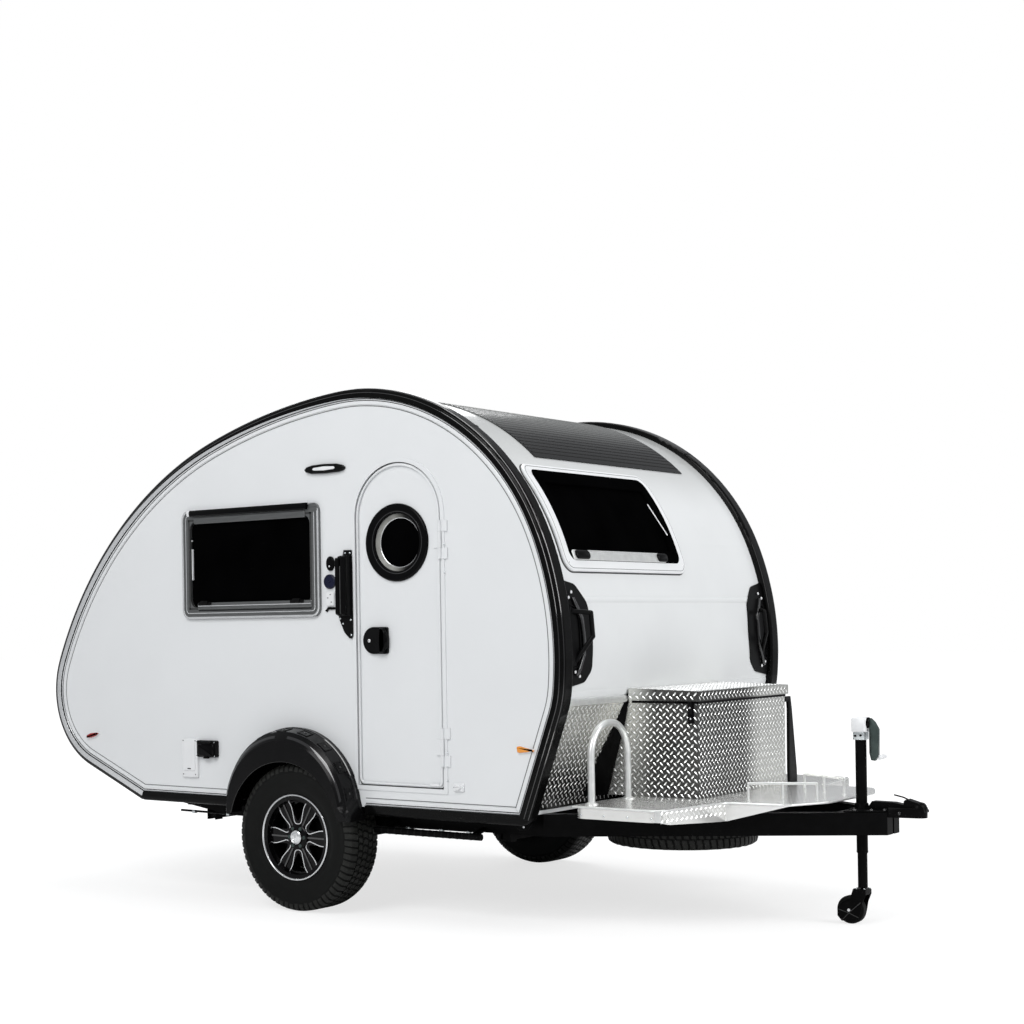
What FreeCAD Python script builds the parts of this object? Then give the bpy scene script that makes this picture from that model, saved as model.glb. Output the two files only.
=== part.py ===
"""Teardrop travel trailer, millimetres, +X towards the hitch, +Y the road side, +Z up.

Lengths along X are measured from the axle and heights from the ground.  At the end the
whole model is moved along X so that the origin lies under the middle of its length.
"""
import FreeCAD, Part
import math
import os

V = FreeCAD.Vector
os.makedirs("parts", exist_ok=True)

# ---------------------------------------------------------------- driving dimensions
body_half_width = 1066.0      # to the outer face of a side wall
wall = 30.0                   # thickness of walls and curved panels
floor_thickness = 40.0
sill_z = 528.0                # underside of the body
front_corner_x = 1277.0       # where the front slope meets the sill
front_slope = 70.10           # degrees above horizontal
skin_proud = 10.0             # curved panels stand this far outside the side outline

# Side outline, from the front corner up, over the roof and down to the rear corner.
# kind, panel, radius or length, turn in degrees
OUTLINE = [
    ("line", "front", 502.5, 0.0),
    ("arc", "front", 454.0, 14.72),
    ("arc", "front", 1505.0, 26.65),
    ("arc", "front", 1136.0, 28.50),
    ("arc", "roof", 1136.0, 44.94),
    ("arc", "roof", 3323.0, 14.59),
    ("arc", "rear", 1996.0, 47.92),
    ("arc", "rear", 400.0, 89.64),
    ("line", "rear", 443.0, 0.0),
]

trim_depth = 42.0             # edge moulding outside the side outline
trim_width = 87.0             # edge moulding measured across the trailer
trim_proud = 12.0             # edge moulding outside the side wall
trim_corner_r = 14.0
skirt_front_x = 372.0         # the moulding's lower runs stop at the fender's legs
skirt_rear_x = -466.0

wheel_track_half = body_half_width      # centre of a tire
tire_r = 367.0
tire_width = 235.0
rim_r = 215.0
spokes = 6
disc_back = 52.0              # outboard of the tire's middle
disc_face = 78.0
hub_back = -60.0
hub_r = 62.0
cap_r = 33.0
hub_bore_r = 20.0
running_gap = 0.06
arch_x = -60.0                # middle of the round wheel arch
arch_z = 503.0
arch_r = 402.0
arch_spring = 9.0             # degrees above horizontal where the legs take over
arch_front_foot = 366.0       # the front leg leans forward to clear the tire
arch_foot_z = 465.0
fender_skin = 9.0
fender_lip = (-50.0, 380.0, 362.0)      # middle x and z and radius of the open lip

# Outer form of the fender, from the side wall outward.
# distance from the wall, height of the arch's middle, radius
FENDER = [(0.0, arch_z, arch_r), (22.0, arch_z, arch_r), (108.0, 497.0, 392.0),
          (132.0, 478.0, 379.0), (140.0, 474.0, 370.0)]

tire_to_rail = 32.5
rail_width = 50.0
rail_half = wheel_track_half - tire_width / 2 - tire_to_rail - rail_width / 2
rail_taper_x = -720.0         # rearward of this the rails lose depth
rail_tail_height = 42.0
rail_height = 103.0
rail_rear_x = -1140.0
rail_bend_x = 1300.0
cross_member_x = 1060.0
deck_bar_x = 1935.0           # cross member under the deck
tongue_x = 2590.0             # where the two rails meet the coupler
tongue_half = 38.0
step_x = (394.0, 1020.0)      # entry step's tube
step_z = 415.0
step_inboard = 45.0
step_tube_r = 16.0
step_arm_r = 12.0
hitch_ball_r = 25.4
hitch_ball_z = 537.0
coupler_nose_r = 38.0
coupler_half = 62.0           # half width at the frame
lever_top_z = 606.0
coupler_length = 158.0
coupler_nose_x = tongue_x + coupler_length

jack_x = tongue_x - 150.0
jack_tube_r = 25.5
jack_leg_r = 22.0
jack_tube_z = (330.0, 846.0)
jack_head_z = 954.0
crank_out = 86.0              # crank arm ahead of the tube
crank_r = 7.0
crank_knob_z = 760.0
crank_knob = 76.0
crank_knob_r = 13.0
jack_leg_top = 650.0
caster_trail = 55.0
caster_r = 65.0
caster_width = 50.0
caster_gap = 5.0

door_x = (334.0, 840.0)
door_z = 639.0
door_top = 2184.0
door_gap = 5.0
door_frame_width = 22.0
door_hinge_out = 12.0
door_frame_proud = 5.0
latch_box = (378.0, 528.0, 1271.0, 1401.0)        # x and z of the latch's escutcheon
latch_proud = 34.0
porthole_z = 1804.0
porthole_r = 187.0
porthole_ring = 45.0
porthole_proud = 14.0
porthole_sleeve = 12.0

side_window = (-833.0, 109.0, 1457.0, 2024.0)     # x and z of the outer frame
window_frame = 58.0
window_corner = 45.0
window_proud = 16.0
front_window = (-880.0, 212.0, 1640.0, 2140.0)    # y and z of the outer frame
rear_window = (-520.0, 520.0, 1480.0, 1850.0)
pane = 8.0
pane_gap = 1.0
solar_y = (-685.0, 748.0)
solar_heading = (135.2, 44.0)         # where on the roof's front curve it starts, and its turn
solar_thickness = 5.0

vent_x = (-520.0, -120.0)             # outside of the roof vent's kerb
vent_half = 200.0
vent_kerb_wall = 18.0
vent_kerb_rise = 34.0
vent_lid_grow = 14.0
vent_lid_rise = 30.0

tub_half_width = 452.0
tub_front_x = 1848.0
tub_rim_z = 1040.0
tub_wall = 4.0
lid_height = 48.0
lid_overhang = 14.0
tub_back_gap = (48.0, 14.0)   # tub's back wall to the front panel, at its foot and its rim
guard_top_z = 1040.0
guard_foot = 20.0             # above the sill
guard_thickness = 4.0
lid_skin = 3.0

deck_z = 585.0
deck_plate = 5.0
deck_corner_drop = 30.0       # the deck's skirt hangs this much lower at its front corners
deck_wing_x = 2010.0          # the wide part of the deck ends here
# Deck seen from above, one half: station, distance from the middle, corner radius
DECK_EDGE = [(1500.0, 985.0, 55.0), (1945.0, 985.0, 95.0), (deck_wing_x, 500.0, 12.0),
             (2300.0, 470.0, 20.0), (2395.0, 250.0, 12.0)]
# Near side of the tie rail: station, distance from the middle
TIE_RAIL = [(2020.0, 300.0), (2290.0, 150.0)]
hoop_x = 1555.0
hoop_y = (592.0, 914.0)
hoop_tube_r = 16.0
hoop_bend = 150.0
hoop_top_z = 948.0

spare_x = 1510.0
spare_z = 318.0
spare_width = 205.0

leg_length = 360.0            # the drop legs lie across the trailer when stowed
leg_inboard = 105.0           # from a rail's centre to a leg's pivot
leg_half = 22.0
leg_bracket_half = 100.0
leg_bar = 16.0                # half the depth of a leg
leg_foot = (45.0, 24.0)       # half width of a foot and its height above the pivot
leg_pin_r = 8.0
leg_pivot_z = 395.0
LEGS = {"front": 1010.0, "rear": -905.0}

handle_r = 11.0
handle_base = 7.0             # thickness of its plate
# Grab handle's plate: distance inboard of the moulding, height, corner radius
HANDLE_PLATE = [(0.0, 1115.0, 0.0), (135.0, 1135.0, 50.0), (195.0, 1190.0, 60.0),
                (210.0, 1340.0, 300.0), (190.0, 1500.0, 70.0), (110.0, 1585.0, 60.0),
                (0.0, 1605.0, 0.0)]
# Grab bar: distance inboard of the moulding, height, distance outside the panel
HANDLE_BAR = [(55.0, 1462.0, 2.0), (122.0, 1452.0, 62.0), (120.0, 1345.0, 62.0), (62.0, 1235.0, 2.0)]

tie_rail_r = 6.0
tie_rail_top = 75.0
seal_gap = 0.3
spare_bar = sill_z - spare_z - spare_width

# Lamps and fittings on the flat walls: x0, x1, z0, z1, corner radius, height off the wall
PORCH_LAMP = (20.0, 277.0, 2160.0, 2210.0, 20.0, 22.0)
MARKERS = [(1257.0, 1360.0, 815.0, 855.0, 8.0, 16.0), (-1600.0, -1500.0, 806.0, 846.0, 8.0, 16.0)]
HATCH = (-862.0, -746.0, 624.0, 829.0, 10.0, 10.0)
SOCKET_PLATE = (148.0, 198.0, 1680.0, 1753.0, 24.0, 9.0)
OUTLET = (146.0, 192.0, 1511.0, 1575.0, 5.0, 7.0)
hatch_border = 12.0
hatch_door_rise = 4.0
navy_socket = (168.0, 1628.0, 36.0, 9.0)      # x, z, radius and height off the wall
rear_lamp = (640.0, 820.0, 1010.0, 1120.0)    # distance from the middle, then heights
rear_lamp_proud = 26.0
inlet_proud = 30.0
# Power inlet: x, z, corner radius
INLET = [(-742.0, 822.0, 6.0), (-604.0, 822.0, 6.0), (-604.0, 735.0, 6.0), (-722.0, 735.0, 14.0)]
table_plate = 6.0
table_bracket_reach = 52.0
# Folded table bracket, its plate on the wall and its arm: x, z, corner radius
TABLE_PLATE = [(236.0, 1777.0, 6.0), (304.0, 1777.0, 6.0), (304.0, 1349.0, 6.0),
               (284.0, 1349.0, 10.0), (208.0, 1466.0, 6.0), (208.0, 1748.0, 6.0)]
TABLE_ARM = [(214.0, 1752.0, 5.0), (300.0, 1752.0, 5.0), (300.0, 1458.0, 5.0), (214.0, 1458.0, 5.0)]


# ---------------------------------------------------------------- drawing helpers
def corner_cut(before, at, after, radius):
    """Tangent points and middle of the arc that rounds one corner."""
    ax, ay = before[0] - at[0], before[1] - at[1]
    bx, by = after[0] - at[0], after[1] - at[1]
    la, lb = math.hypot(ax, ay), math.hypot(bx, by)
    ax, ay, bx, by = ax / la, ay / la, bx / lb, by / lb
    half = math.acos(max(-1.0, min(1.0, ax * bx + ay * by))) / 2
    back = radius / math.tan(half)
    mx, my = ax + bx, ay + by
    lm = math.hypot(mx, my)
    reach = radius / math.sin(half) - radius
    return ((at[0] + ax * back, at[1] + ay * back),
            (at[0] + mx / lm * reach, at[1] + my / lm * reach),
            (at[0] + bx * back, at[1] + by * back))


def outline_face(corners, place):
    """Flat face from (u, v) or (u, v, radius) corners, put into space by place(u, v)."""
    count = len(corners)
    stations = []
    for i, corner in enumerate(corners):
        if len(corner) > 2 and corner[2] > 0:
            cut = corner_cut(corners[i - 1], corner, corners[(i + 1) % count], corner[2])
            stations.append([place(*p) for p in cut])
        else:
            stations.append([place(corner[0], corner[1])])
    edges = []
    for i, station in enumerate(stations):
        if len(station) == 3:
            edges.append(Part.Arc(*station).toShape())
        start, end = station[-1], stations[(i + 1) % count][0]
        if start.distanceToPoint(end) > 1e-6:
            edges.append(Part.LineSegment(start, end).toShape())
    return Part.Face(Part.Wire(edges))


def rectangle(u0, u1, v0, v1, radius=0.0):
    return [(u0, v0, radius), (u1, v0, radius), (u1, v1, radius), (u0, v1, radius)]


def along_y(corners, y0, y1):
    """Prism of an XZ outline between two widths."""
    return outline_face(corners, lambda u, v: V(u, y0, v)).extrude(V(0, y1 - y0, 0))


def along_x(corners, x0, x1):
    """Prism of a YZ outline between two stations."""
    return outline_face(corners, lambda u, v: V(x0, u, v)).extrude(V(x1 - x0, 0, 0))


def along_z(corners, z0, z1):
    """Prism of an XY outline between two heights."""
    return outline_face(corners, lambda u, v: V(u, v, z0)).extrude(V(0, 0, z1 - z0))


def box(x0, x1, y0, y1, z0, z1):
    return Part.makeBox(x1 - x0, y1 - y0, z1 - z0, V(x0, y0, z0))


def rod(start, end, radius):
    axis = end - start
    return Part.makeCylinder(radius, axis.Length, start, axis)


def across(x, z, y0, y1, radius):
    """Cylinder parallel to the axle."""
    return rod(V(x, y0, z), V(x, y1, z), radius)


def upright(x, y, z0, z1, radius):
    return rod(V(x, y, z0), V(x, y, z1), radius)


def join(*shapes):
    return shapes[0].multiFuse(list(shapes[1:])).removeSplitter()


def other_side(shape):
    return shape.mirror(V(0, 0, 0), V(0, 1, 0))


# ---------------------------------------------------------------- the side outline
def stations(rows, x, z, heading):
    """Start point and heading in radians of each outline row, then those of its end."""
    out = []
    for kind, panel, size, turn in rows:
        out.append((kind, panel, size, math.radians(turn), x, z, heading))
        if kind == "line":
            x += size * math.cos(heading)
            z += size * math.sin(heading)
        else:
            after = heading + math.radians(turn)
            x += size * (math.sin(after) - math.sin(heading))
            z += size * (math.cos(heading) - math.cos(after))
            heading = after
    out.append(("end", "", 0.0, 0.0, x, z, heading))
    return out


def offset_point(x, z, heading, out, y):
    """Point `out` millimetres outside the outline."""
    return V(x + out * math.sin(heading), y, z - out * math.cos(heading))


def sweep_outline(section, rows):
    """Carry a (y, out) section along outline rows, one solid for each row, fused."""
    solids = []
    for kind, panel, size, turn, x, z, heading in rows:
        if kind == "end":
            continue
        face = outline_face(section, lambda y, out: offset_point(x, z, heading, out, y))
        if kind == "line":
            solids.append(face.extrude(V(size * math.cos(heading), 0, size * math.sin(heading))))
        else:
            centre = offset_point(x, z, heading, -size, 0)
            solids.append(face.revolve(centre, V(0, -1, 0), math.degrees(turn)))
    return join(*solids) if len(solids) > 1 else solids[0]


def outline_edges(rows, out, y):
    """Edges of the outline moved outward by `out`, in the plane y."""
    edges = []
    for here, after in zip(rows, rows[1:]):
        kind, panel, size, turn, x, z, heading = here
        start = offset_point(x, z, heading, out, y)
        end = offset_point(after[4], after[5], after[6], out, y)
        if kind == "line":
            edges.append(Part.LineSegment(start, end).toShape())
        else:
            centre = offset_point(x, z, heading, -size, y)
            middle = heading + turn / 2
            half_way = V(centre.x + (size + out) * math.sin(middle), y,
                         centre.z - (size + out) * math.cos(middle))
            edges.append(Part.Arc(start, half_way, end).toShape())
    return edges


body = stations(OUTLINE, front_corner_x, sill_z, math.radians(front_slope))
rear_corner_x, rear_slope = body[-1][4], body[-1][6] - 2 * math.pi


def slope_x(corner_x, slope, out, z):
    """Where a straight end slope of the body, moved outward by `out`, is at height z."""
    start = offset_point(corner_x, sill_z, slope, out, 0)
    return start.x + (z - start.z) / math.tan(slope)


def front_x(z, out=0.0):
    return slope_x(front_corner_x, math.radians(front_slope), out, z)


def rear_x(z, out=0.0):
    return slope_x(rear_corner_x, rear_slope, out, z)


def rows_of(panel):
    return [row for row in body if row[1] == panel]


def panel_band(inside, outside, panel, half=body_half_width - wall):
    """Layer of a curved panel between two distances from the outline."""
    return sweep_outline(rectangle(-half, half, inside, outside), rows_of(panel))


def front_point(z, out, y):
    """Point at height z, `out` millimetres outside the front of the body."""
    for kind, panel, size, turn, x0, z0, heading in rows_of("front"):
        if kind == "line":
            end = z0 + size * math.sin(heading) - out * math.cos(heading)
            if z <= end:
                return V(front_x(z, out), y, z)
            continue
        centre = offset_point(x0, z0, heading, -size, y)
        reach = size + out
        if z <= centre.z - reach * math.cos(heading + turn):
            here = math.acos((centre.z - z) / reach)
            return V(centre.x + reach * math.sin(here), y, z)
    raise ValueError("height above the front panel")


wheel_z = tire_r


def arch_wire(y, z_mid, radius, shrink=0.0):
    """Closed outline of the wheel arch: a round top on two legs."""
    radius -= shrink
    lean = math.radians(arch_spring)
    half, rise = radius * math.cos(lean), radius * math.sin(lean)
    front, rear = V(arch_x + half, y, z_mid + rise), V(arch_x - half, y, z_mid + rise)
    front_foot = V(arch_front_foot - shrink, y, arch_foot_z)
    rear_foot = V(rear.x, y, arch_foot_z)
    edges = [Part.Arc(front, V(arch_x, y, z_mid + radius), rear).toShape()]
    for start, end in ((rear, rear_foot), (rear_foot, front_foot), (front_foot, front)):
        edges.append(Part.LineSegment(start, end).toShape())
    return Part.Wire(edges)


def arch_prism(y0, y1, shrink):
    """Wheel arch outline, smaller by `shrink`, carried between two widths."""
    face = Part.Face(arch_wire(y0, arch_z, arch_r, shrink))
    return face.extrude(V(0, y1 - y0, 0))


# ---------------------------------------------------------------- cabin
def side_wall():
    edges = outline_edges(body, 0.0, body_half_width - wall)
    end, start = edges[-1].Vertexes[-1].Point, edges[0].Vertexes[0].Point
    edges.append(Part.LineSegment(end, start).toShape())
    blank = Part.Face(Part.Wire(edges)).extrude(V(0, wall, 0))
    blank = blank.cut(arch_prism(body_half_width - wall - 1, body_half_width + 1, fender_skin))
    x0, x1, z0, z1 = side_window
    inset = window_frame / 2
    hole = rectangle(x0 + inset, x1 - inset, z0 + inset, z1 - inset, window_corner)
    return blank.cut(along_y(hole, body_half_width - wall - 1, body_half_width + 1))


def door_outline(grow):
    """Round-topped door, larger all round by `grow`."""
    x0, x1 = door_x[0] - grow, door_x[1] + grow
    radius = (x1 - x0) / 2
    z0, z1 = door_z - grow, door_top + grow
    left, right = V(x0, 0, z1 - radius), V(x1, 0, z1 - radius)
    edges = [Part.Arc(left, V(x0 + radius, 0, z1), right).toShape()]
    low_left, low_right = V(x0, 0, z0), V(x1, 0, z0)
    for start, end in ((right, low_right), (low_right, low_left), (low_left, left)):
        edges.append(Part.LineSegment(start, end).toShape())
    return Part.Face(Part.Wire(edges))


def door_prism(grow, y0, y1):
    face = door_outline(grow)
    face.translate(V(0, y0, 0))
    return face.extrude(V(0, y1 - y0, 0))


hinge_x = door_x[1] + door_gap + 1.0
hinge_y = -body_half_width - door_hinge_out
hinge_r = 8.0
hinge_pin_r = 4.0
hinge_leaf = 40.0
hinge_leaf_thickness = 8.0
HINGE_Z = (742.0, 1717.0)
hinge_height = 180.0
knuckle = (52.0, 128.0)       # the door's share of each hinge
knuckle_gap = 1.0


def door_side_wall():
    """Curb side wall with the doorway, its raised frame and the fixed hinge barrels."""
    skin = -body_half_width
    panel = other_side(side_wall())
    panel = panel.cut(door_prism(door_gap, skin - 1, skin + wall + 1))
    frame = door_prism(door_gap + door_frame_width, skin - door_frame_proud, skin)
    frame = frame.cut(door_prism(door_gap, skin - door_frame_proud - 1, skin + 1))
    parts = [panel, frame]
    for z in HINGE_Z:
        lo, hi = z + knuckle[0], z + knuckle[1]
        room = upright(hinge_x, hinge_y, lo - knuckle_gap, hi + knuckle_gap, hinge_r + 1.5)
        parts = [part.cut(room) for part in parts]
        for z0, z1 in ((z, lo - knuckle_gap), (hi + knuckle_gap, z + hinge_height)):
            parts.append(upright(hinge_x, hinge_y, z0, z1, hinge_r))
            parts.append(box(hinge_x, hinge_x + hinge_leaf, skin - hinge_leaf_thickness, skin, z0, z1))
        parts.append(upright(hinge_x, hinge_y, z, z + hinge_height, hinge_pin_r))
    return join(*parts)


def entry_door():
    skin = -body_half_width
    leaf = door_prism(0.0, skin, skin + wall)
    parts = [leaf]
    for z in HINGE_Z:
        lo, hi = z + knuckle[0], z + knuckle[1]
        parts.append(upright(hinge_x, hinge_y, lo, hi, hinge_r))
        parts.append(box(hinge_x - hinge_leaf, hinge_x - 2, skin - hinge_leaf_thickness, skin, lo, hi))
    leaf = join(*parts)
    for z in HINGE_Z:
        leaf = leaf.cut(upright(hinge_x, hinge_y, z, z + hinge_height, hinge_pin_r + running_gap))
    return leaf.cut(across(sum(door_x) / 2, porthole_z, skin - 1, skin + wall + 1,
                           porthole_r - porthole_ring + porthole_sleeve))


def door_porthole():
    skin = -body_half_width
    centre_x = sum(door_x) / 2
    inner = porthole_r - porthole_ring
    face = skin - porthole_proud
    ring = across(centre_x, porthole_z, face, skin, porthole_r)
    ring = ring.makeFillet(9.0, [e for e in ring.Edges if abs(e.BoundBox.YMin - face) < 0.1
                                 and e.BoundBox.YLength < 0.1])
    sleeve = across(centre_x, porthole_z, skin - 1, skin + wall, inner + porthole_sleeve)
    glass_y = skin + wall - 6
    glass = across(centre_x, porthole_z, glass_y - pane, glass_y, inner + 1)
    bored = join(ring, sleeve).cut(across(centre_x, porthole_z, face - 1, skin + wall + 1, inner))
    return join(bored, glass)


def door_latch():
    """Round escutcheon and a flared grip beside it."""
    skin = -body_half_width
    x0, x1, z0, z1 = latch_box
    radius = (z1 - z0) / 2 - 0.5
    plate = along_y([(x0, z0, radius), (x1, z0, 12), (x1, z1, 12), (x0, z1, radius)],
                    skin - 12, skin)
    grip = along_y(rectangle(x1 - 62, x1 - 8, z0 + 8, z1 - 8, 14), skin - latch_proud, skin - 8)
    return join(plate, grip)


def floor():
    inside = -(wall - skin_proud)
    top = sill_z + floor_thickness
    outline = [(rear_x(sill_z, inside), sill_z), (front_x(sill_z, inside), sill_z),
               (front_x(top, inside), top), (rear_x(top, inside), top)]
    half = body_half_width - wall
    slab = along_y(outline, -half, half)
    inner_y = rail_half + rail_width / 2 + 5
    lining = 12.0
    wells = []
    above = box(arch_x - 2 * arch_r, arch_x + 2 * arch_r, -half, half, sill_z, sill_z + 2 * arch_r)
    for side in (-1, 1):
        near, far = side * inner_y, side * half
        well = arch_prism(near, far + side, fender_skin)
        slab = slab.cut(well)
        shell = arch_prism(near - side * lining, far, fender_skin - lining).cut(well)
        wells.append(shell.common(above))
    return join(slab, *wells)


def panel_window(opening, panel, way):
    """Hole, frame and pane that follow a curved panel; way is +1 at the front, -1 at the rear."""
    y0, y1, z0, z1 = opening
    x0, x1 = sorted((0.0, way * tongue_x))
    outer = along_x(rectangle(y0, y1, z0, z1, window_corner), x0, x1)
    inset = window_frame / 2
    hole = along_x(rectangle(y0 + inset, y1 - inset, z0 + inset, z1 - inset, window_corner), x0, x1)
    f = window_frame
    inner = along_x(rectangle(y0 + f, y1 - f, z0 + f, z1 - f, window_corner), x0, x1)
    g = f + pane_gap
    glazed = along_x(rectangle(y0 + g, y1 - g, z0 + g, z1 - g, window_corner - pane_gap), x0, x1)
    ring = panel_band(skin_proud, skin_proud + window_proud, panel).common(outer).cut(inner)
    sleeve = panel_band(skin_proud - wall, skin_proud, panel).common(hole).cut(inner)
    frame = join(ring, sleeve)
    glass = panel_band(skin_proud - pane, skin_proud, panel).common(glazed)
    return hole, frame, glass


def side_window_parts():
    """Frame with its sleeve through the wall, and the pane it holds."""
    x0, x1, z0, z1 = side_window
    face = body_half_width
    half = window_frame / 2
    outer = along_y(rectangle(x0, x1, z0, z1, window_corner), face, face + window_proud)
    sleeve = along_y(rectangle(x0 + half, x1 - half, z0 + half, z1 - half, window_corner),
                     face - wall, face + 1)
    f = window_frame
    hole = along_y(rectangle(x0 + f, x1 - f, z0 + f, z1 - f, window_corner),
                   face - wall - 1, face + window_proud + 1)
    g = f + pane_gap
    glass = along_y(rectangle(x0 + g, x1 - g, z0 + g, z1 - g, window_corner - pane_gap),
                    face - pane, face)
    return join(outer, sleeve).cut(hole), glass


def roof_vent():
    """Kerb on the roof panel, the hole inside it and the lid that closes it."""
    def above(grow, radius):
        """Prism through the roof, larger than the kerb all round by `grow`."""
        return along_z(rectangle(vent_x[0] - grow, vent_x[1] + grow, -vent_half - grow,
                                 vent_half + grow, radius), door_top, 2 * door_top)

    inner = above(-vent_kerb_wall, 14)
    top = skin_proud + vent_kerb_rise
    kerb = panel_band(skin_proud - 1, top, "roof").common(above(0, 30)).cut(inner)
    lid = panel_band(top + seal_gap, top + vent_lid_rise, "roof").common(above(vent_lid_grow, 40))
    return inner, kerb, lid


# ---------------------------------------------------------------- edge moulding
def edge_trim():
    """Black moulding round a side wall, from the wheel forward, over the top and back."""
    corner_run = trim_corner_r * math.tan(math.radians(front_slope) / 2)
    rear_run = trim_corner_r * math.tan(-rear_slope / 2)
    rows = [("line", "", front_corner_x - skirt_front_x - corner_run, 0.0),
            ("arc", "", trim_corner_r, front_slope)]
    for kind, panel, size, turn in OUTLINE:
        rows.append((kind, "", size, turn))
    first, last = rows[2], rows[-1]
    rows[2] = ("line", "", first[2] - corner_run, 0.0)
    rows[-1] = ("line", "", last[2] - rear_run, 0.0)
    rows.append(("arc", "", trim_corner_r, math.degrees(-rear_slope)))
    rows.append(("line", "", skirt_rear_x - rear_corner_x - rear_run, 0.0))
    outer = body_half_width + trim_proud
    inner = outer - trim_width
    wall_face = body_half_width - wall
    section = [(inner, skin_proud), (wall_face, skin_proud), (wall_face, 0.0),
               (body_half_width, 0.0), (body_half_width, -8.0), (outer, -8.0, 3.0),
               (outer, trim_depth, 22.0), (inner, trim_depth, 14.0)]
    return sweep_outline(section, stations(rows, skirt_front_x, sill_z, 0.0))


def grab_handle():
    """Rounded plate and a bent bar on the front panel beside the moulding."""
    edge = body_half_width + trim_proud - trim_width
    half = body_half_width
    x0, x1 = front_corner_x, tub_front_x
    plate = along_x([(edge - inboard, z, r) for inboard, z, r in HANDLE_PLATE], x0, x1)
    plate = panel_band(skin_proud, skin_proud + handle_base, "front", half).common(plate)
    route = [front_point(z, skin_proud + out, edge - inboard) for inboard, z, out in HANDLE_BAR]
    bars = [rod(p, q, handle_r) for p, q in zip(route, route[1:])]
    knees = [Part.makeSphere(handle_r, p) for p in route[1:3]]
    behind = panel_band(skin_proud - 2 * wall, skin_proud, "front", half)
    return join(plate, *bars, *knees).cut(behind)


# ---------------------------------------------------------------- wheels and axle
def spin(section, x, y, z, axis=V(0, 1, 0)):
    """Revolve a (radius, along) section about an axis through a point."""
    face = outline_face(section, lambda r, a: V(r, a, 0))
    solid = face.revolve(V(0, 0, 0), V(0, 1, 0), 360)
    turn = FreeCAD.Rotation(V(0, 1, 0), axis)
    solid.Placement = FreeCAD.Placement(V(x, y, z), turn)
    return solid


def tire_section(width):
    half = width / 2
    shoulder = half - 17
    bead = half - 25
    side = [(rim_r - 20, bead), (rim_r + 8, half - 12), (rim_r + 75, half, 30),
            (tire_r - 22, half - 5, 20), (tire_r, shoulder, 18)]
    lower = [(r[0], -r[1], *r[2:]) for r in side]
    return side[::-1] + lower


def tire(x, y, z, width=tire_width, axis=V(0, 1, 0)):
    return spin(tire_section(width), x, y, z, axis)


def rim(side):
    """Six-spoke alloy wheel with its hub, centre cap at the outer side."""
    half = tire_width / 2
    bead = half - 25
    barrel = spin([(rim_r - 32, -bead), (rim_r - 21, -bead), (rim_r, -bead - 9), (rim_r, -bead - 14),
                   (rim_r - 30, -bead - 8), (rim_r - 42, 0), (rim_r - 30, bead + 8),
                   (rim_r, bead + 14), (rim_r, bead + 9), (rim_r - 21, bead),
                   (rim_r - 32, bead - 10), (rim_r - 32, 0)], 0, 0, 0)
    disc = across(0, 0, disc_back, disc_face, rim_r - 34)
    for i in range(spokes):
        window = along_y([(72, 0, 10), (168, -58, 18), (174, 0, 60), (168, 58, 18)], 40, 90)
        window.rotate(V(0, 0, 0), V(0, 1, 0), 360 / spokes * (i + 0.5))
        disc = disc.cut(window)
    hub = across(0, 0, hub_back, disc_face + 6, hub_r)
    cap = across(0, 0, disc_face, disc_face + 18, cap_r)
    shape = join(barrel, disc, hub, cap)
    shape = shape.cut(across(0, 0, hub_back - 1, disc_back, hub_bore_r))
    if side < 0:
        shape = other_side(shape)
    shape.translate(V(0, side * wheel_track_half, wheel_z))
    return shape


def spare_wheel():
    """Spare tire on a plain steel wheel, clamped flat under the tongue's cross bar."""
    z = spare_z + spare_width / 2
    half = spare_width / 2
    bead = half - 25
    steel = spin([(55, half - 6), (120, half - 6), (150, half - 34), (rim_r - 30, half - 40),
                  (rim_r - 30, -bead), (rim_r - 20, -bead), (rim_r - 20, bead), (rim_r - 34, bead),
                  (rim_r - 34, half - 28), (146, half - 22), (116, half), (55, half)],
                 spare_x, 0, z, V(0, 0, 1))
    return join(tire(spare_x, 0, z, spare_width, V(0, 0, 1)), steel)


axle_x = 160.0
axle_z = 388.0
axle_half = 37.0


def axle():
    """Torsion axle: square beam, trailing arms and the spindles that carry the wheels."""
    rail_face = rail_half + rail_width / 2
    beam = box(axle_x - axle_half, axle_x + axle_half, -rail_face - 4, rail_face + 4,
               axle_z - axle_half, axle_z + axle_half)
    parts = [beam]
    for side in (-1, 1):
        y0, y1 = side * (rail_face + 4), side * (rail_face + 28)
        arm = along_y([(-34, wheel_z - 30, 30), (axle_x + 38, axle_z - 36, 30),
                       (axle_x + 38, axle_z + 36, 30), (-34, wheel_z + 34, 30)], y0, y1)
        tip = side * (wheel_track_half + disc_back - 2)
        parts.append(arm)
        parts.append(across(0, wheel_z, y1, tip, hub_bore_r - running_gap))
    return join(*parts)


def fender():
    """Wheel-arch flare: a band that slopes outward, a rounded edge and an open outer face."""
    base = body_half_width
    outer = Part.makeLoft([arch_wire(base + out, z, r) for out, z, r in FENDER], True, True)
    skin = fender_skin
    inner_rows = [(out - skin, z, r) for out, z, r in FENDER[1:-1]]
    first = arch_wire(base - 1, arch_z, arch_r, skin)
    inner = Part.makeLoft([first] + [arch_wire(base + out, z, r, skin) for out, z, r in inner_rows],
                          True, True)
    lip_x, lip_z, lip_r = fender_lip
    far = base + FENDER[-1][0]
    open_face = across(lip_x, lip_z, base - 1, far + 1, lip_r)
    x0, x1 = arch_x - 2 * arch_r, arch_x + 2 * arch_r
    below = box(x0, x1, base - 1, far + 1, 0, arch_foot_z + 0.1)
    foot = arch_prism(base - 2, base + FENDER[2][0], skin)
    foot = foot.common(box(x0, x1, base - 2, far, arch_foot_z - 1, sill_z))
    return outer.cut(inner).cut(open_face).cut(below).cut(foot)


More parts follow.
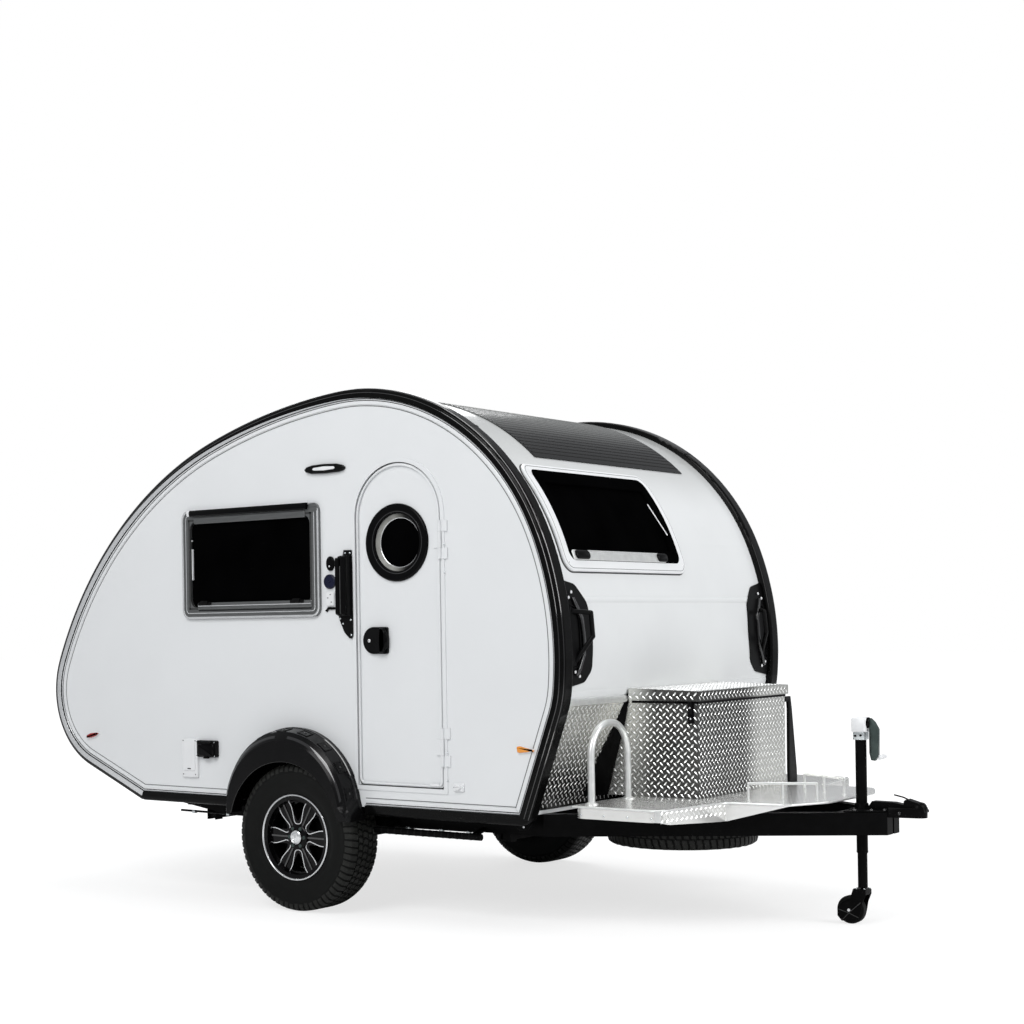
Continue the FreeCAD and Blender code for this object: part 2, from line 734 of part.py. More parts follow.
# ---------------------------------------------------------------- chassis and hitch
rail_z = (sill_z - rail_height, sill_z)


def beam_between(x0, y0, x1, y1, width, z0, z1):
    """Straight bar seen from above, its ends square to X."""
    run = math.hypot(x1 - x0, y1 - y0)
    half = width / 2 * run / abs(x1 - x0)
    return along_z([(x0, y0 - half), (x1, y1 - half), (x1, y1 + half), (x0, y0 + half)], z0, z1)


def tongue_y(x):
    """Distance of a tongue rail's centre from the middle at station x."""
    share = (x - rail_bend_x) / (tongue_x - rail_bend_x)
    return rail_half + (tongue_half - rail_half) * share


def chassis():
    """Welded frame: two rails that bend in to the hitch, cross members and brackets."""
    z0, z1 = rail_z
    inner = rail_half + rail_width / 2
    parts = []
    for side in (-1, 1):
        parts.append(along_y([(rail_rear_x, z1), (rail_rear_x, z1 - rail_tail_height),
                              (rail_taper_x, z0), (rail_bend_x, z0), (rail_bend_x, z1)],
                             side * rail_half - rail_width / 2, side * rail_half + rail_width / 2))
        parts.append(beam_between(rail_bend_x, side * rail_half, tongue_x, side * tongue_half,
                                  rail_width, z0, z1))
    for x, depth in ((rail_rear_x + 25, rail_tail_height), (axle_x, rail_height - 30),
                     (cross_member_x, rail_height - 30)):
        parts.append(box(x - 25, x + 25, -inner, inner, z1 - depth, z1))
    half = tongue_y(deck_bar_x)
    parts.append(box(deck_bar_x - 22, deck_bar_x + 22, -half, half, z0 + 30, z1))
    half = tongue_y(spare_x)
    parts.append(box(spare_x - 40, spare_x + 40, -half, half, z1 - spare_bar, z1))
    x0, x1 = jack_x - 60, jack_x + 60
    parts.append(along_z([(x0, -tongue_y(x0)), (x1, -tongue_y(x1)), (x1, tongue_y(x1)),
                          (x0, tongue_y(x0))], z1 - 10, z1))
    for x in LEGS.values():
        for side in (-1, 1):
            y = side * (rail_half - leg_inboard)
            far = side * rail_half
            reach = leg_half + 6
            for edge in (x - reach, x + reach):
                parts.append(box(edge - 4, edge + 4, y - 26, y + 26, leg_pivot_z - 22, z0 + 40))
            parts.append(rod(V(x - reach, y, leg_pivot_z), V(x + reach, y, leg_pivot_z), leg_pin_r))
            lo, hi = sorted((y - side * 26, far))
            parts.append(box(x - leg_bracket_half, x + leg_bracket_half, lo, hi, z0 + 30, z0 + 42))
    frame = join(*parts)
    return frame.cut(upright(jack_x, 0, z1 - 30, z1 + 1, jack_tube_r + running_gap))


def entry_step_bar():
    """Low tubular step under the door, hung from the curb side rail."""
    y = step_inboard - body_half_width
    x0, x1 = step_x
    bar = rod(V(x0, y, step_z), V(x1, y, step_z), step_tube_r)
    arms = [rod(V(x, y, step_z), V(x, -rail_half, rail_z[0] + 18), step_arm_r)
            for x in (x0 + 56, x1 - 60)]
    return join(bar, *arms)


def coupler():
    """Pressed ball coupler on the nose of the frame, with its latch lever."""
    nose_r = coupler_nose_r
    ball_x, ball_z = coupler_nose_x - nose_r, hitch_ball_z
    z0, z1 = ball_z - 32, rail_z[1] + 22
    start = tongue_x
    body_shape = along_z([(start, -coupler_half), (ball_x, -nose_r), (ball_x, nose_r),
                          (start, coupler_half)], z0, z1)
    dome = Part.makeSphere(nose_r, V(ball_x, 0, ball_z)).common(
        box(ball_x - nose_r, ball_x + nose_r, -nose_r, nose_r, ball_z, ball_z + nose_r))
    dome = join(dome, upright(ball_x, 0, z0, ball_z, nose_r))
    socket = join(Part.makeSphere(hitch_ball_r + 0.3, V(ball_x, 0, ball_z)),
                  upright(ball_x, 0, z0 - 1, ball_z, hitch_ball_r + 0.3))
    lever = along_y([(start + 10, z1 - 2), (start + 28, z1 - 2), (start + 40, lever_top_z, 4),
                     (start - 20, lever_top_z, 4)], -9, 9)
    return join(body_shape, dome, lever).cut(socket)


def jack_tube():
    """Fixed tube, gear head and crank of the tongue jack."""
    z0, z1 = jack_tube_z
    tube = upright(jack_x, 0, z0, z1, jack_tube_r)
    flange = along_z(rectangle(jack_x - 48, jack_x + 48, -48, 48, 10), rail_z[1], rail_z[1] + 8)
    head = along_z(rectangle(jack_x - 34, jack_x + 40, -34, 34, 16), z1 - 30, jack_head_z)
    shape = join(tube, flange, head)
    shape = shape.cut(upright(jack_x, 0, z0 - 1, jack_head_z - 90, jack_leg_r))
    arm_x = jack_x + crank_out
    shaft_z = jack_head_z - 34
    shaft = rod(V(jack_x + 30, 0, shaft_z), V(arm_x, 0, shaft_z), 8)
    arm = rod(V(arm_x, 0, shaft_z + 14), V(arm_x, 0, crank_knob_z - 5), crank_r)
    knob = rod(V(arm_x - 10, 0, crank_knob_z), V(arm_x + crank_knob, 0, crank_knob_z), crank_knob_r)
    return join(shape, shaft, arm, knob)


crown_z = 165.0
crown_depth = 26.0
swivel_pin_r = 10.0
caster_axle_r = 6.0


def jack_leg():
    leg = upright(jack_x, 0, crown_z + caster_gap, jack_leg_top, jack_leg_r - running_gap)
    pin = upright(jack_x, 0, crown_z - crown_depth + 2, crown_z + caster_gap + 5,
                  swivel_pin_r - running_gap)
    return join(leg, pin)


def caster_fork():
    wheel_x = jack_x - caster_trail
    half = caster_width / 2 + caster_gap
    cheek = 6.0
    crown = along_z(rectangle(jack_x - 34, jack_x + 26, -half - cheek, half + cheek, 8),
                    crown_z - crown_depth, crown_z)
    crown = crown.cut(upright(jack_x, 0, crown_z - crown_depth - 1, crown_z + 1, swivel_pin_r))
    parts = [crown]
    for side in (-1, 1):
        y0 = side * half
        y1 = side * (half + cheek)
        parts.append(along_y([(jack_x - 34, crown_z - 2), (wheel_x - 14, caster_r - 14, 12),
                              (wheel_x + 16, caster_r - 14, 12), (jack_x + 20, crown_z - 2)], y0, y1))
    parts.append(across(wheel_x, caster_r, -half - cheek, half + cheek, caster_axle_r))
    return join(*parts)


def caster_wheel():
    half = caster_width / 2
    bore = caster_axle_r + running_gap
    rubber = caster_r - 13
    return spin([(bore, -half - 3), (24, -half - 3), (28, -half + 4), (rubber, -half + 4),
                 (caster_r, -half + 8, 5), (caster_r, half - 8, 5), (rubber, half - 4),
                 (28, half - 4), (24, half + 3), (bore, half + 3)],
                jack_x - caster_trail, 0, caster_r)


def stabilizer(x, side):
    """Drop leg stowed flat under the frame, its foot towards the middle of the trailer."""
    y = side * (rail_half - leg_inboard)
    end = y - side * leg_length
    lo, hi = sorted((y + side * 18, end))
    low = leg_pivot_z - leg_bar
    bar = box(x - leg_half + 2, x + leg_half - 2, lo, hi, low, leg_pivot_z + leg_bar)
    foot_half, foot_rise = leg_foot
    foot = box(x - foot_half, x + foot_half, end - 6, end + 6, low, leg_pivot_z + foot_rise)
    pin = rod(V(x - 60, y, leg_pivot_z), V(x + 60, y, leg_pivot_z), leg_pin_r + running_gap)
    return join(bar, foot).cut(pin)


# ---------------------------------------------------------------- tub and deck
def back_x(z):
    """Sloping back wall of the tub, a little steeper than the trailer's front."""
    low, high = tub_back_gap
    share = (z - deck_z) / (tub_rim_z - deck_z)
    return front_x(z, skin_proud) + low + (high - low) * share


def tub_outline(inset, z0, z1):
    front = tub_front_x - inset
    return [(back_x(z0) + inset, z0), (front, z0), (front, z1), (back_x(z1) + inset, z1)]


lid_hinge_x = back_x(tub_rim_z) + 4
lid_hinge_z = tub_rim_z + lid_height
lid_hinge_r = 6.0
lid_hinge_half = tub_half_width - 20


def front_tub():
    half = tub_half_width
    shell = along_y(tub_outline(0, deck_z, tub_rim_z), -half, half)
    inside = along_y(tub_outline(tub_wall, deck_z + tub_wall, tub_rim_z + 1),
                     -half + tub_wall, half - tub_wall)
    edge = half + lid_overhang
    flange = along_z(rectangle(lid_hinge_x + 12, tub_front_x + lid_overhang, -edge, edge),
                     tub_rim_z - tub_wall, tub_rim_z)
    barrel = across(lid_hinge_x, lid_hinge_z, -lid_hinge_half, lid_hinge_half, lid_hinge_r)
    tab = box(lid_hinge_x - 3.5, lid_hinge_x - 0.5, -lid_hinge_half, lid_hinge_half,
              tub_rim_z - 1, lid_hinge_z)
    return join(join(shell, flange).cut(inside), barrel, tab)


def tub_lid():
    half = tub_half_width + lid_overhang
    z0 = tub_rim_z + seal_gap
    z1 = z0 + lid_height
    x0 = lid_hinge_x
    x1 = tub_front_x + lid_overhang
    skin = lid_skin
    outer = along_y([(x0, z0), (x1, z0), (x1, z1 - 6, 4), (x0, z1 + 6, 4)], -half, half)
    inner = along_y([(x0 + skin, z0 - 1), (x1 - skin, z0 - 1), (x1 - skin, z1 - 6 - skin),
                     (x0 + skin, z1 + 6 - skin)], -half + skin, half - skin)
    lid = outer.cut(inner)
    return lid.cut(across(lid_hinge_x, lid_hinge_z, -lid_hinge_half - 2, lid_hinge_half + 2,
                          lid_hinge_r + 1.5))


def front_deck():
    """Plate over the A-frame with folded edges, two hoops and a low tie rail each side."""
    plan = [(x, -y, r) for x, y, r in DECK_EDGE] + DECK_EDGE[::-1]
    sheet = deck_plate
    rear, nose = DECK_EDGE[0][0], DECK_EDGE[-1][0]
    low = sill_z - deck_corner_drop
    top = along_z(plan, deck_z - sheet, deck_z)
    skirt = along_z(plan, low, deck_z)
    under = [(rear - 1, low - 1), (nose + 1, low - 1), (nose + 1, deck_z - 2 * sheet),
             (DECK_EDGE[3][0], deck_z - 2 * sheet), (deck_wing_x + 6, low), (deck_wing_x - 6, low),
             (DECK_EDGE[1][0] - 20, sill_z), (rear - 1, sill_z)]
    skirt = skirt.cut(along_y(under, -body_half_width, body_half_width))
    inset = [(x - math.copysign(sheet, x - rear - 1), y - math.copysign(sheet, y), r) for x, y, r in plan]
    inner = along_z(inset, low - 1, deck_z - sheet)
    shapes = [top, skirt.cut(inner)]
    for side in (-1, 1):
        near, far = side * hoop_y[0], side * hoop_y[1]
        bend = hoop_bend
        z_bend = hoop_top_z - bend
        for y in (near, far):
            shapes.append(upright(hoop_x, y, deck_z - 2, z_bend, hoop_tube_r))
        inner_y, outer_y = near + side * bend, far - side * bend
        shapes.append(rod(V(hoop_x, inner_y, hoop_top_z), V(hoop_x, outer_y, hoop_top_z), hoop_tube_r))
        for y, centre, way in ((near, inner_y, -side), (far, outer_y, side)):
            ring = Part.Face(Part.Wire(Part.makeCircle(hoop_tube_r, V(hoop_x, y, z_bend), V(0, 0, 1))))
            shapes.append(ring.revolve(V(hoop_x, centre, z_bend), V(-way, 0, 0), -90))
        shapes.extend(tie_rail(side))
    return join(*shapes)


def tie_rail(side):
    """Low rail on three posts over a tongue rail."""
    (x0, y0), (x1, y1) = TIE_RAIL
    start, end = V(x0, side * y0, deck_z - 1), V(x1, side * y1, deck_z - 1)
    rise = V(0, 0, tie_rail_top - tie_rail_r)
    middle = (start + end) / 2
    posts = [rod(start, start + rise, tie_rail_r), rod(end, end + rise, tie_rail_r),
             rod(middle, middle + rise - V(0, 0, tie_rail_r / 2), tie_rail_r)]
    knees = [Part.makeSphere(tie_rail_r, foot + rise) for foot in (start, end)]
    return posts + knees + [rod(start + rise, end + rise, tie_rail_r)]


def rock_guard():
    """Tread plate over the lower part of the front panel."""
    half = body_half_width + trim_proud - trim_width - 0.5
    band = sweep_outline(rectangle(-half, half, skin_proud, skin_proud + guard_thickness),
                         rows_of("front"))
    return band.common(box(0, tongue_x, -half, half, sill_z + guard_foot, guard_top_z))


def solar_panel():
    """Thin flexible panel that follows the front of the roof."""
    start, turn = solar_heading
    _, _, radius, _, x, z, heading = rows_of("roof")[0]
    centre = offset_point(x, z, heading, -radius, 0)
    first = offset_point(centre.x, centre.z, math.radians(start), radius, 0)
    rows = stations([("arc", "", radius, turn)], first.x, first.z, math.radians(start))
    section = rectangle(*solar_y, skin_proud, skin_proud + solar_thickness)
    return sweep_outline(section, rows)


def wall_boss(place, side):
    """Round-cornered block on the outside of a side wall."""
    x0, x1, z0, z1, radius, proud = place
    y0, y1 = sorted((side * body_half_width, side * (body_half_width + proud)))
    return along_y(rectangle(x0, x1, z0, z1, radius), y0, y1)


def lamps():
    """Porch lamp, side markers and the two rear lamp clusters."""
    parts = [wall_boss(PORCH_LAMP, -1)]
    cluster = panel_band(skin_proud, skin_proud + rear_lamp_proud, "rear")
    y0, y1, z0, z1 = rear_lamp
    for side in (-1, 1):
        parts.extend(wall_boss(marker, side) for marker in MARKERS)
        parts.append(cluster.common(box(-tongue_x, 0, *sorted((side * y0, side * y1)), z0, z1)))
    return parts


def wall_fittings():
    """Curb side: service hatch, power inlet, two sockets and the folded table bracket."""
    skin = -body_half_width
    x0, x1, z0, z1, radius, proud = HATCH
    leaf = rectangle(x0 + hatch_border, x1 - hatch_border, z0 + hatch_border, z1 - hatch_border, 8)
    hatch = join(wall_boss(HATCH, -1), along_y(leaf, skin - proud - hatch_door_rise, skin - proud + 1))
    inlet = along_y(INLET, skin - inlet_proud, skin)
    x, z, radius, proud = navy_socket
    disc = across(x, z, skin - proud, skin, radius)
    plate = along_y(TABLE_PLATE, skin - table_plate, skin)
    arm = along_y(TABLE_ARM, skin - table_bracket_reach, skin - table_plate + 1)
    return [hatch, inlet, wall_boss(SOCKET_PLATE, -1), disc, wall_boss(OUTLET, -1), join(plate, arm)]


# ---------------------------------------------------------------- assembly
NODES = {}


def add_cabin():
    """Walls, curved panels, floor and the mouldings over their edges."""
    hole_front, NODES["window_frame_front"], NODES["window_pane_front"] = panel_window(
        front_window, "front", 1)
    hole_rear, frame_rear, pane_rear = panel_window(rear_window, "rear", -1)
    NODES["rear_window"] = join(frame_rear, pane_rear)
    vent_hole, vent_kerb, NODES["roof_vent_lid"] = roof_vent()
    trims = [edge_trim()]
    trims.append(other_side(trims[0]))
    NODES["edge_trim_left"], NODES["edge_trim_right"] = trims
    below_sill = box(-tongue_x, tongue_x, -body_half_width, body_half_width, 0, sill_z)
    for panel, hole in (("front", hole_front), ("rear", hole_rear)):
        skin = panel_band(skin_proud - wall, skin_proud, panel).cut(hole)
        NODES[panel + "_skin"] = skin.cut([below_sill] + trims)
    NODES["roof_skin"] = join(panel_band(skin_proud - wall, skin_proud, "roof").cut(vent_hole),
                              vent_kerb)
    NODES["floor"] = floor().cut([NODES["front_skin"], NODES["rear_skin"]] + trims)
    NODES["side_wall_left"] = side_wall().cut(trims[0])
    NODES["side_wall_right"] = door_side_wall().cut(trims[1])


def add_openings():
    """Door with its window and latch, and the panes and frames of the side windows."""
    NODES["entry_door"] = entry_door()
    NODES["door_porthole"] = door_porthole()
    NODES["door_latch"] = door_latch()
    frame, glass = side_window_parts()
    NODES["window_frame_left"], NODES["window_pane_left"] = frame, glass
    NODES["window_frame_right"], NODES["window_pane_right"] = other_side(frame), other_side(glass)


def add_fittings():
    """What is mounted on the outside of the cabin."""
    handle = grab_handle()
    NODES["grab_handles"] = Part.makeCompound([handle, other_side(handle)])
    NODES["wall_fittings"] = Part.makeCompound(wall_fittings())
    NODES["lamps"] = Part.makeCompound(lamps())
    NODES["rock_guard"] = rock_guard()
    NODES["solar_panel"] = solar_panel()
    NODES["fender_left"] = fender()
    frame_room = door_prism(door_gap + door_frame_width + seal_gap,
                            -body_half_width - door_frame_proud - seal_gap, -body_half_width + 1)
    NODES["fender_right"] = other_side(NODES["fender_left"]).cut(frame_room)


def add_running_gear():
    """Wheels, frame, hitch, jack and the drop legs."""
    for name, side in (("left", 1), ("right", -1)):
        NODES["rim_" + name] = rim(side)
        NODES["tire_" + name] = tire(0, side * wheel_track_half, wheel_z).cut(NODES["rim_" + name])
        for end, x in LEGS.items():
            NODES["stabilizer_%s_%s" % (end, name)] = stabilizer(x, side)
    NODES["axle"] = axle()
    NODES["chassis"] = join(chassis(), entry_step_bar())
    NODES["coupler"] = coupler()
    NODES["jack_tube"] = jack_tube()
    NODES["jack_leg"] = jack_leg()
    NODES["caster_fork"] = caster_fork()
    NODES["caster_wheel"] = caster_wheel()
    NODES["spare_wheel"] = spare_wheel()


def add_tongue_box():
    NODES["front_tub"] = front_tub()
    NODES["tub_lid"] = tub_lid()
    NODES["front_deck"] = front_deck()


def tail_x():
    """Rearmost point of the mouldings."""
    _, _, radius, _, x, z, heading = [row for row in rows_of("rear") if row[0] == "arc"][-1]
    return offset_point(x, z, heading, -radius, 0).x - radius - trim_depth


add_cabin()
add_openings()
add_fittings()
add_running_gear()
add_tongue_box()

shift = V(-(tail_x() + coupler_nose_x) / 2, 0, 0)
for name, shape in NODES.items():
    shape.translate(shift)
    shape.exportStep("parts/%s.step" % name)
    print("%-22s %d solids  %.0f cm3  %s" % (name, len(shape.Solids), shape.Volume / 1e3,
                                             "ok" if shape.isValid() else "INVALID"))
print("axle at x =", round(shift.x, 2), " length", round(coupler_nose_x - tail_x(), 1))
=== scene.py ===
"""Looks of the teardrop travel trailer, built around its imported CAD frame. Metres, +X towards the hitch."""
import math

import bmesh
import bpy
from mathutils import Matrix, Vector


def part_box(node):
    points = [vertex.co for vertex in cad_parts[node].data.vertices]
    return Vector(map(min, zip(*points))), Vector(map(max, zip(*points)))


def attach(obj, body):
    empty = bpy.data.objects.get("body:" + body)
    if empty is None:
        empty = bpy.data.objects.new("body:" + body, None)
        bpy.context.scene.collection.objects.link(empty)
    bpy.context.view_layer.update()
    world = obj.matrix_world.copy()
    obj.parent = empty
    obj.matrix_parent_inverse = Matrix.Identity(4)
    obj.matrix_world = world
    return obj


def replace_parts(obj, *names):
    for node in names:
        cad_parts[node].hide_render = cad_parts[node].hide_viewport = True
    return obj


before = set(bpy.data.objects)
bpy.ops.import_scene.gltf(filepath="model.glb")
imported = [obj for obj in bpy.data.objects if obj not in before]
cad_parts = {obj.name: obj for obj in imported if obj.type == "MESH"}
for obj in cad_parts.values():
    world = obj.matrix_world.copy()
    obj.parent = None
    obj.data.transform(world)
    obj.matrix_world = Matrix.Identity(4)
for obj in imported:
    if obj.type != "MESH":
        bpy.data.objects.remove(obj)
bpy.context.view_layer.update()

TAU = 2 * math.pi


# ---------------------------------------------------------------- places from the frame
def middle(node):
    lo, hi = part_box(node)
    return (lo + hi) / 2


AXLE_X = middle("tire_left").x
WHEEL_Z = middle("tire_left").z
TIRE_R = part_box("tire_left")[1].z - WHEEL_Z
TIRE_HALF = (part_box("tire_left")[1].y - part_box("tire_left")[0].y) / 2
TRACK = middle("tire_left").y
SIDE_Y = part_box("side_wall_left")[1].y          # outer face of a side wall
SILL_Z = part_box("side_wall_left")[0].z
TRIM_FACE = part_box("edge_trim_left")[1].y
TRIM_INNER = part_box("edge_trim_left")[0].y
SKIN_PROUD = 0.01


def from_axle(x):
    return AXLE_X + x


# ---------------------------------------------------------------- finishes
M = {}


def new_material(name):
    mat = bpy.data.materials.new(name)
    mat.use_nodes = True
    nodes = mat.node_tree.nodes
    return mat, nodes, nodes["Principled BSDF"]


def tune(node, **values):
    """Sets inputs of a shader node; To_Min=0.2 sets the input named To Min."""
    for label, value in values.items():
        node.inputs[label.replace("_", " ")].default_value = value
    return node


def shader_node(nodes, kind, **values):
    return tune(nodes.new("ShaderNode" + kind), **values)


def wire(source, output, target, entry):
    source.id_data.links.new(source.outputs[output], target.inputs[entry])


def colour_ramp(nodes, *stops):
    """Colour ramp with two stops of (position, colour)."""
    ramp = shader_node(nodes, "ValToRGB")
    for element, (position, colour) in zip(ramp.color_ramp.elements, stops):
        element.position = position
        element.color = (*colour, 1)
    return ramp


def finish(key, name, colour, rough=0.4, metal=0.0, coat=0.0, grain=60.0, shade=0.04, bump=0.02,
           rough_spread=0.06, stretch=(1, 1, 1), fine=None, spec=0.5):
    """Surface with a noise that varies its colour, roughness and height."""
    mat, nodes, shader = new_material(name)
    mapping = shader_node(nodes, "Mapping", Scale=stretch)
    wire(shader_node(nodes, "TexCoord"), "Object", mapping, "Vector")
    noise = shader_node(nodes, "TexNoise", Scale=grain, Detail=4.0)
    wire(mapping, "Vector", noise, "Vector")
    low = [max(0.0, c * (1 - shade)) for c in colour]
    high = [min(1.0, c * (1 + shade)) for c in colour]
    ramp = colour_ramp(nodes, (0.3, low), (0.7, high))
    wire(noise, "Fac", ramp, "Fac")
    wire(ramp, "Color", shader, "Base Color")
    spread = shader_node(nodes, "MapRange", To_Min=max(0.0, rough - rough_spread),
                         To_Max=min(1.0, rough + rough_spread))
    wire(noise, "Fac", spread, "Value")
    wire(spread, "Result", shader, "Roughness")
    height = noise
    if fine:
        height = shader_node(nodes, "TexNoise", Scale=fine, Detail=3.0)
        wire(mapping, "Vector", height, "Vector")
    relief = shader_node(nodes, "Bump", Strength=bump, Distance=0.002)
    wire(height, "Fac", relief, "Height")
    wire(relief, "Normal", shader, "Normal")
    tune(shader, Metallic=metal, Coat_Weight=coat, Coat_Roughness=0.06, Specular_IOR_Level=spec)
    M[key] = mat


finish("wall", "wall_white", (0.775, 0.79, 0.8), 0.26, coat=0.35, grain=3, shade=0.01,
       bump=0.008, fine=220, rough_spread=0.03)
finish("panel", "panel_silver", (0.76, 0.775, 0.78), 0.24, coat=0.45, grain=2.5, shade=0.02,
       bump=0.008, fine=260, rough_spread=0.03)
finish("frame_white", "frame_white", (0.8, 0.81, 0.82), 0.28, coat=0.3, grain=8, shade=0.01,
       bump=0.002, rough_spread=0.01)
finish("seal", "seal_grey", (0.045, 0.046, 0.046), 0.5, grain=90, shade=0.15, bump=0.03,
       spec=0.2)
# grey for thin lines: beside the wall's edge flange and inside the front window's ring it is painted shade;
# the outlet's marks use it too
finish("groove", "groove_and_shade_grey", (0.16, 0.165, 0.165), 0.5, shade=0.06, spec=0.2)
finish("moulding", "moulding_black", (0.003, 0.003, 0.003), 0.12, grain=30, shade=0.25,
       bump=0.004, spec=0.1, rough_spread=0.02)
finish("plastic", "plastic_black", (0.004, 0.004, 0.0042), 0.34, grain=50, shade=0.25,
       fine=600, spec=0.1)
finish("gloss_black", "gloss_black", (0.002, 0.002, 0.0022), 0.08, grain=12, shade=0.2,
       bump=0.004, spec=0.1, rough_spread=0.02)
finish("fender", "fender_black", (0.0035, 0.0035, 0.0038), 0.17, grain=25, shade=0.2,
       bump=0.008, fine=500, spec=0.16, rough_spread=0.03)
# grey far lighter than the black plastic it belongs to: painted highlight on the rolled fender lip and on the
# caster's creases
finish("fender_lip", "fender_lip", (0.035, 0.036, 0.035), 0.3, grain=40, shade=0.15,
       fine=500, spec=0.4)
finish("glass", "dark_glass", (0.0012, 0.0012, 0.0013), 0.05, grain=5, shade=0.3, bump=0.001,
       rough_spread=0.02, spec=0.0)
finish("reveal", "porthole_reveal", (0.3, 0.3, 0.28), 0.4, grain=30, shade=0.15,
       bump=0.03, spec=0.2)
finish("alloy", "alloy_grey", (0.17, 0.175, 0.175), 0.3, 0.75, grain=18, shade=0.08,
       bump=0.015, stretch=(1, 1, 10))
finish("bright", "bright_metal", (0.86, 0.87, 0.88), 0.22, 0.7, grain=30, bump=0.01)
# tub plate far darker than its lugs and the deck of the same metal: painted dark reflection on the tub's
# faces
finish("plate", "tread_plate", (0.11, 0.11, 0.105), 0.26, 0.9, grain=22, shade=0.12,
       bump=0.015, rough_spread=0.05, fine=160)
finish("deck", "deck_plate", (0.84, 0.84, 0.82), 0.2, 0.7, grain=14, shade=0.03, bump=0.006,
       rough_spread=0.05, fine=160)
finish("lug", "tread_lug", (0.92, 0.93, 0.92), 0.2, 0.55, shade=0.06, bump=0.01)
finish("tube", "satin_tube", (0.8, 0.81, 0.8), 0.36, 0.7, grain=35, shade=0.06, bump=0.015)
# tread blocks lighter than the carcass of the same rubber: painted light on the blocks and painted shade in
# the grooves between them
finish("rubber", "tire_rubber", (0.0035, 0.0038, 0.0035), 0.55, grain=26, shade=0.2, bump=0.06,
       fine=520, spec=0.14)
finish("tread", "tread_rubber", (0.01, 0.0105, 0.009), 0.5, grain=26, shade=0.25, bump=0.06,
       fine=420, spec=0.3)
finish("shine", "black_shine", (0.004, 0.004, 0.0045), 0.1, grain=20, shade=0.2,
       bump=0.003, coat=1.0, rough_spread=0.02)
# guard plate far darker than its lugs of the same metal: painted dark reflection on the guard
finish("guard", "guard_plate", (0.1, 0.1, 0.095), 0.26, 0.92, grain=22, shade=0.12,
       bump=0.015, rough_spread=0.05, fine=160)
finish("rim", "rim_black", (0.002, 0.002, 0.0022), 0.14, grain=30, shade=0.2, bump=0.004,
       spec=0.16, rough_spread=0.03)
finish("machined", "machined_edge", (0.84, 0.85, 0.86), 0.2, 0.8, grain=90, shade=0.05)
finish("chassis", "chassis_black", (0.0022, 0.0022, 0.0023), 0.34, grain=22, shade=0.3,
       bump=0.03, fine=380, spec=0.05)
finish("zinc", "zinc_plate", (0.66, 0.7, 0.71), 0.24, 0.8, grain=45, shade=0.1, bump=0.03)
finish("crank", "crank_steel", (0.055, 0.075, 0.07), 0.35, 0.6, grain=45, shade=0.15, bump=0.03)
finish("solar", "solar_film", (0.003, 0.003, 0.0035), 0.22, grain=14, shade=0.3, bump=0.01,
       stretch=(1, 4, 1), spec=0.12)
finish("solar_rib", "solar_rib", (0.005, 0.005, 0.005), 0.32, grain=30, shade=0.2, spec=0.1)
finish("amber", "amber_lens", (0.82, 0.3, 0.03), 0.16, coat=0.5, shade=0.12, bump=0.03)
finish("red", "red_lens", (0.34, 0.012, 0.01), 0.16, coat=0.5, shade=0.12, bump=0.03)
finish("clear", "clear_lens", (0.82, 0.83, 0.84), 0.18, coat=0.4, shade=0.03, bump=0.04)
finish("navy", "socket_navy", (0.006, 0.008, 0.028), shade=0.15, bump=0.03, spec=0.2)
finish("wood", "floor_board", (0.3, 0.22, 0.14), 0.6, grain=6, shade=0.25, bump=0.1,
       stretch=(1, 12, 1))


def paint_light_gradient(key, pale, *spans):
    """Painted light and shade: blends a finish towards a tone along object axes; spans of (axis, start, end).
    """
    nodes, links = M[key].node_tree.nodes, M[key].node_tree.links
    target = nodes["Principled BSDF"].inputs["Base Color"]
    source = target.links[0].from_socket
    parts = shader_node(nodes, "SeparateXYZ")
    wire(shader_node(nodes, "TexCoord"), "Object", parts, "Vector")
    share = None
    for axis, start, end in spans:
        ramp = shader_node(nodes, "MapRange", From_Min=start, From_Max=end)
        ramp.interpolation_type = "SMOOTHSTEP"
        wire(parts, axis, ramp, "Value")
        if share is None:
            share = ramp.outputs["Result"]
            continue
        most = shader_node(nodes, "Math")
        most.operation = "MAXIMUM"
        links.new(share, most.inputs[0])
        wire(ramp, "Result", most, 1)
        share = most.outputs["Value"]
    mix = shader_node(nodes, "Mix")
    mix.data_type = "RGBA"
    links.new(share, mix.inputs["Factor"])
    links.new(source, mix.inputs["A"])
    mix.inputs["B"].default_value = (*pale, 1)
    links.new(mix.outputs["Result"], target)


# painted reflection: the tub's plate turns pale at the back of the tub and on its far half
paint_light_gradient("plate", (0.8, 0.8, 0.76), ("X", from_axle(1.64), from_axle(1.48)), ("Y", -0.02, 0.2))
# painted reflection: the guard turns pale towards its top
paint_light_gradient("guard", (0.74, 0.74, 0.7), ("Z", 0.66, 1.02))
# painted shade: the porthole's reveal turns black towards its front side
paint_light_gradient("reveal", (0.003, 0.003, 0.003), ("X", from_axle(0.545), from_axle(0.64)))
# painted shade: the curved panels turn darker grey from 1.95 m up, over the top of the front and the roof
paint_light_gradient("panel", (0.5, 0.51, 0.505), ("Z", 1.95, 2.35))
# painted reflection: the solar film and its cell rows turn grey towards the top of the roof
paint_light_gradient("solar", (0.15, 0.153, 0.15), ("Z", 2.3, 2.5))
paint_light_gradient("solar_rib", (0.14, 0.143, 0.14), ("Z", 2.3, 2.5))
# painted highlight: the deck turns whiter towards its nose
paint_light_gradient("deck", (0.95, 0.95, 0.94), ("X", from_axle(1.9), from_axle(2.3)))


# ---------------------------------------------------------------- mesh helpers
SIDES = ((-1, "right"), (1, "left"))           # the curb side is the right one
SAME_POINT = 1e-6                              # corners closer than this are merged
BEVEL_ANGLE, SHARP_ANGLE = 0.6, math.radians(38)


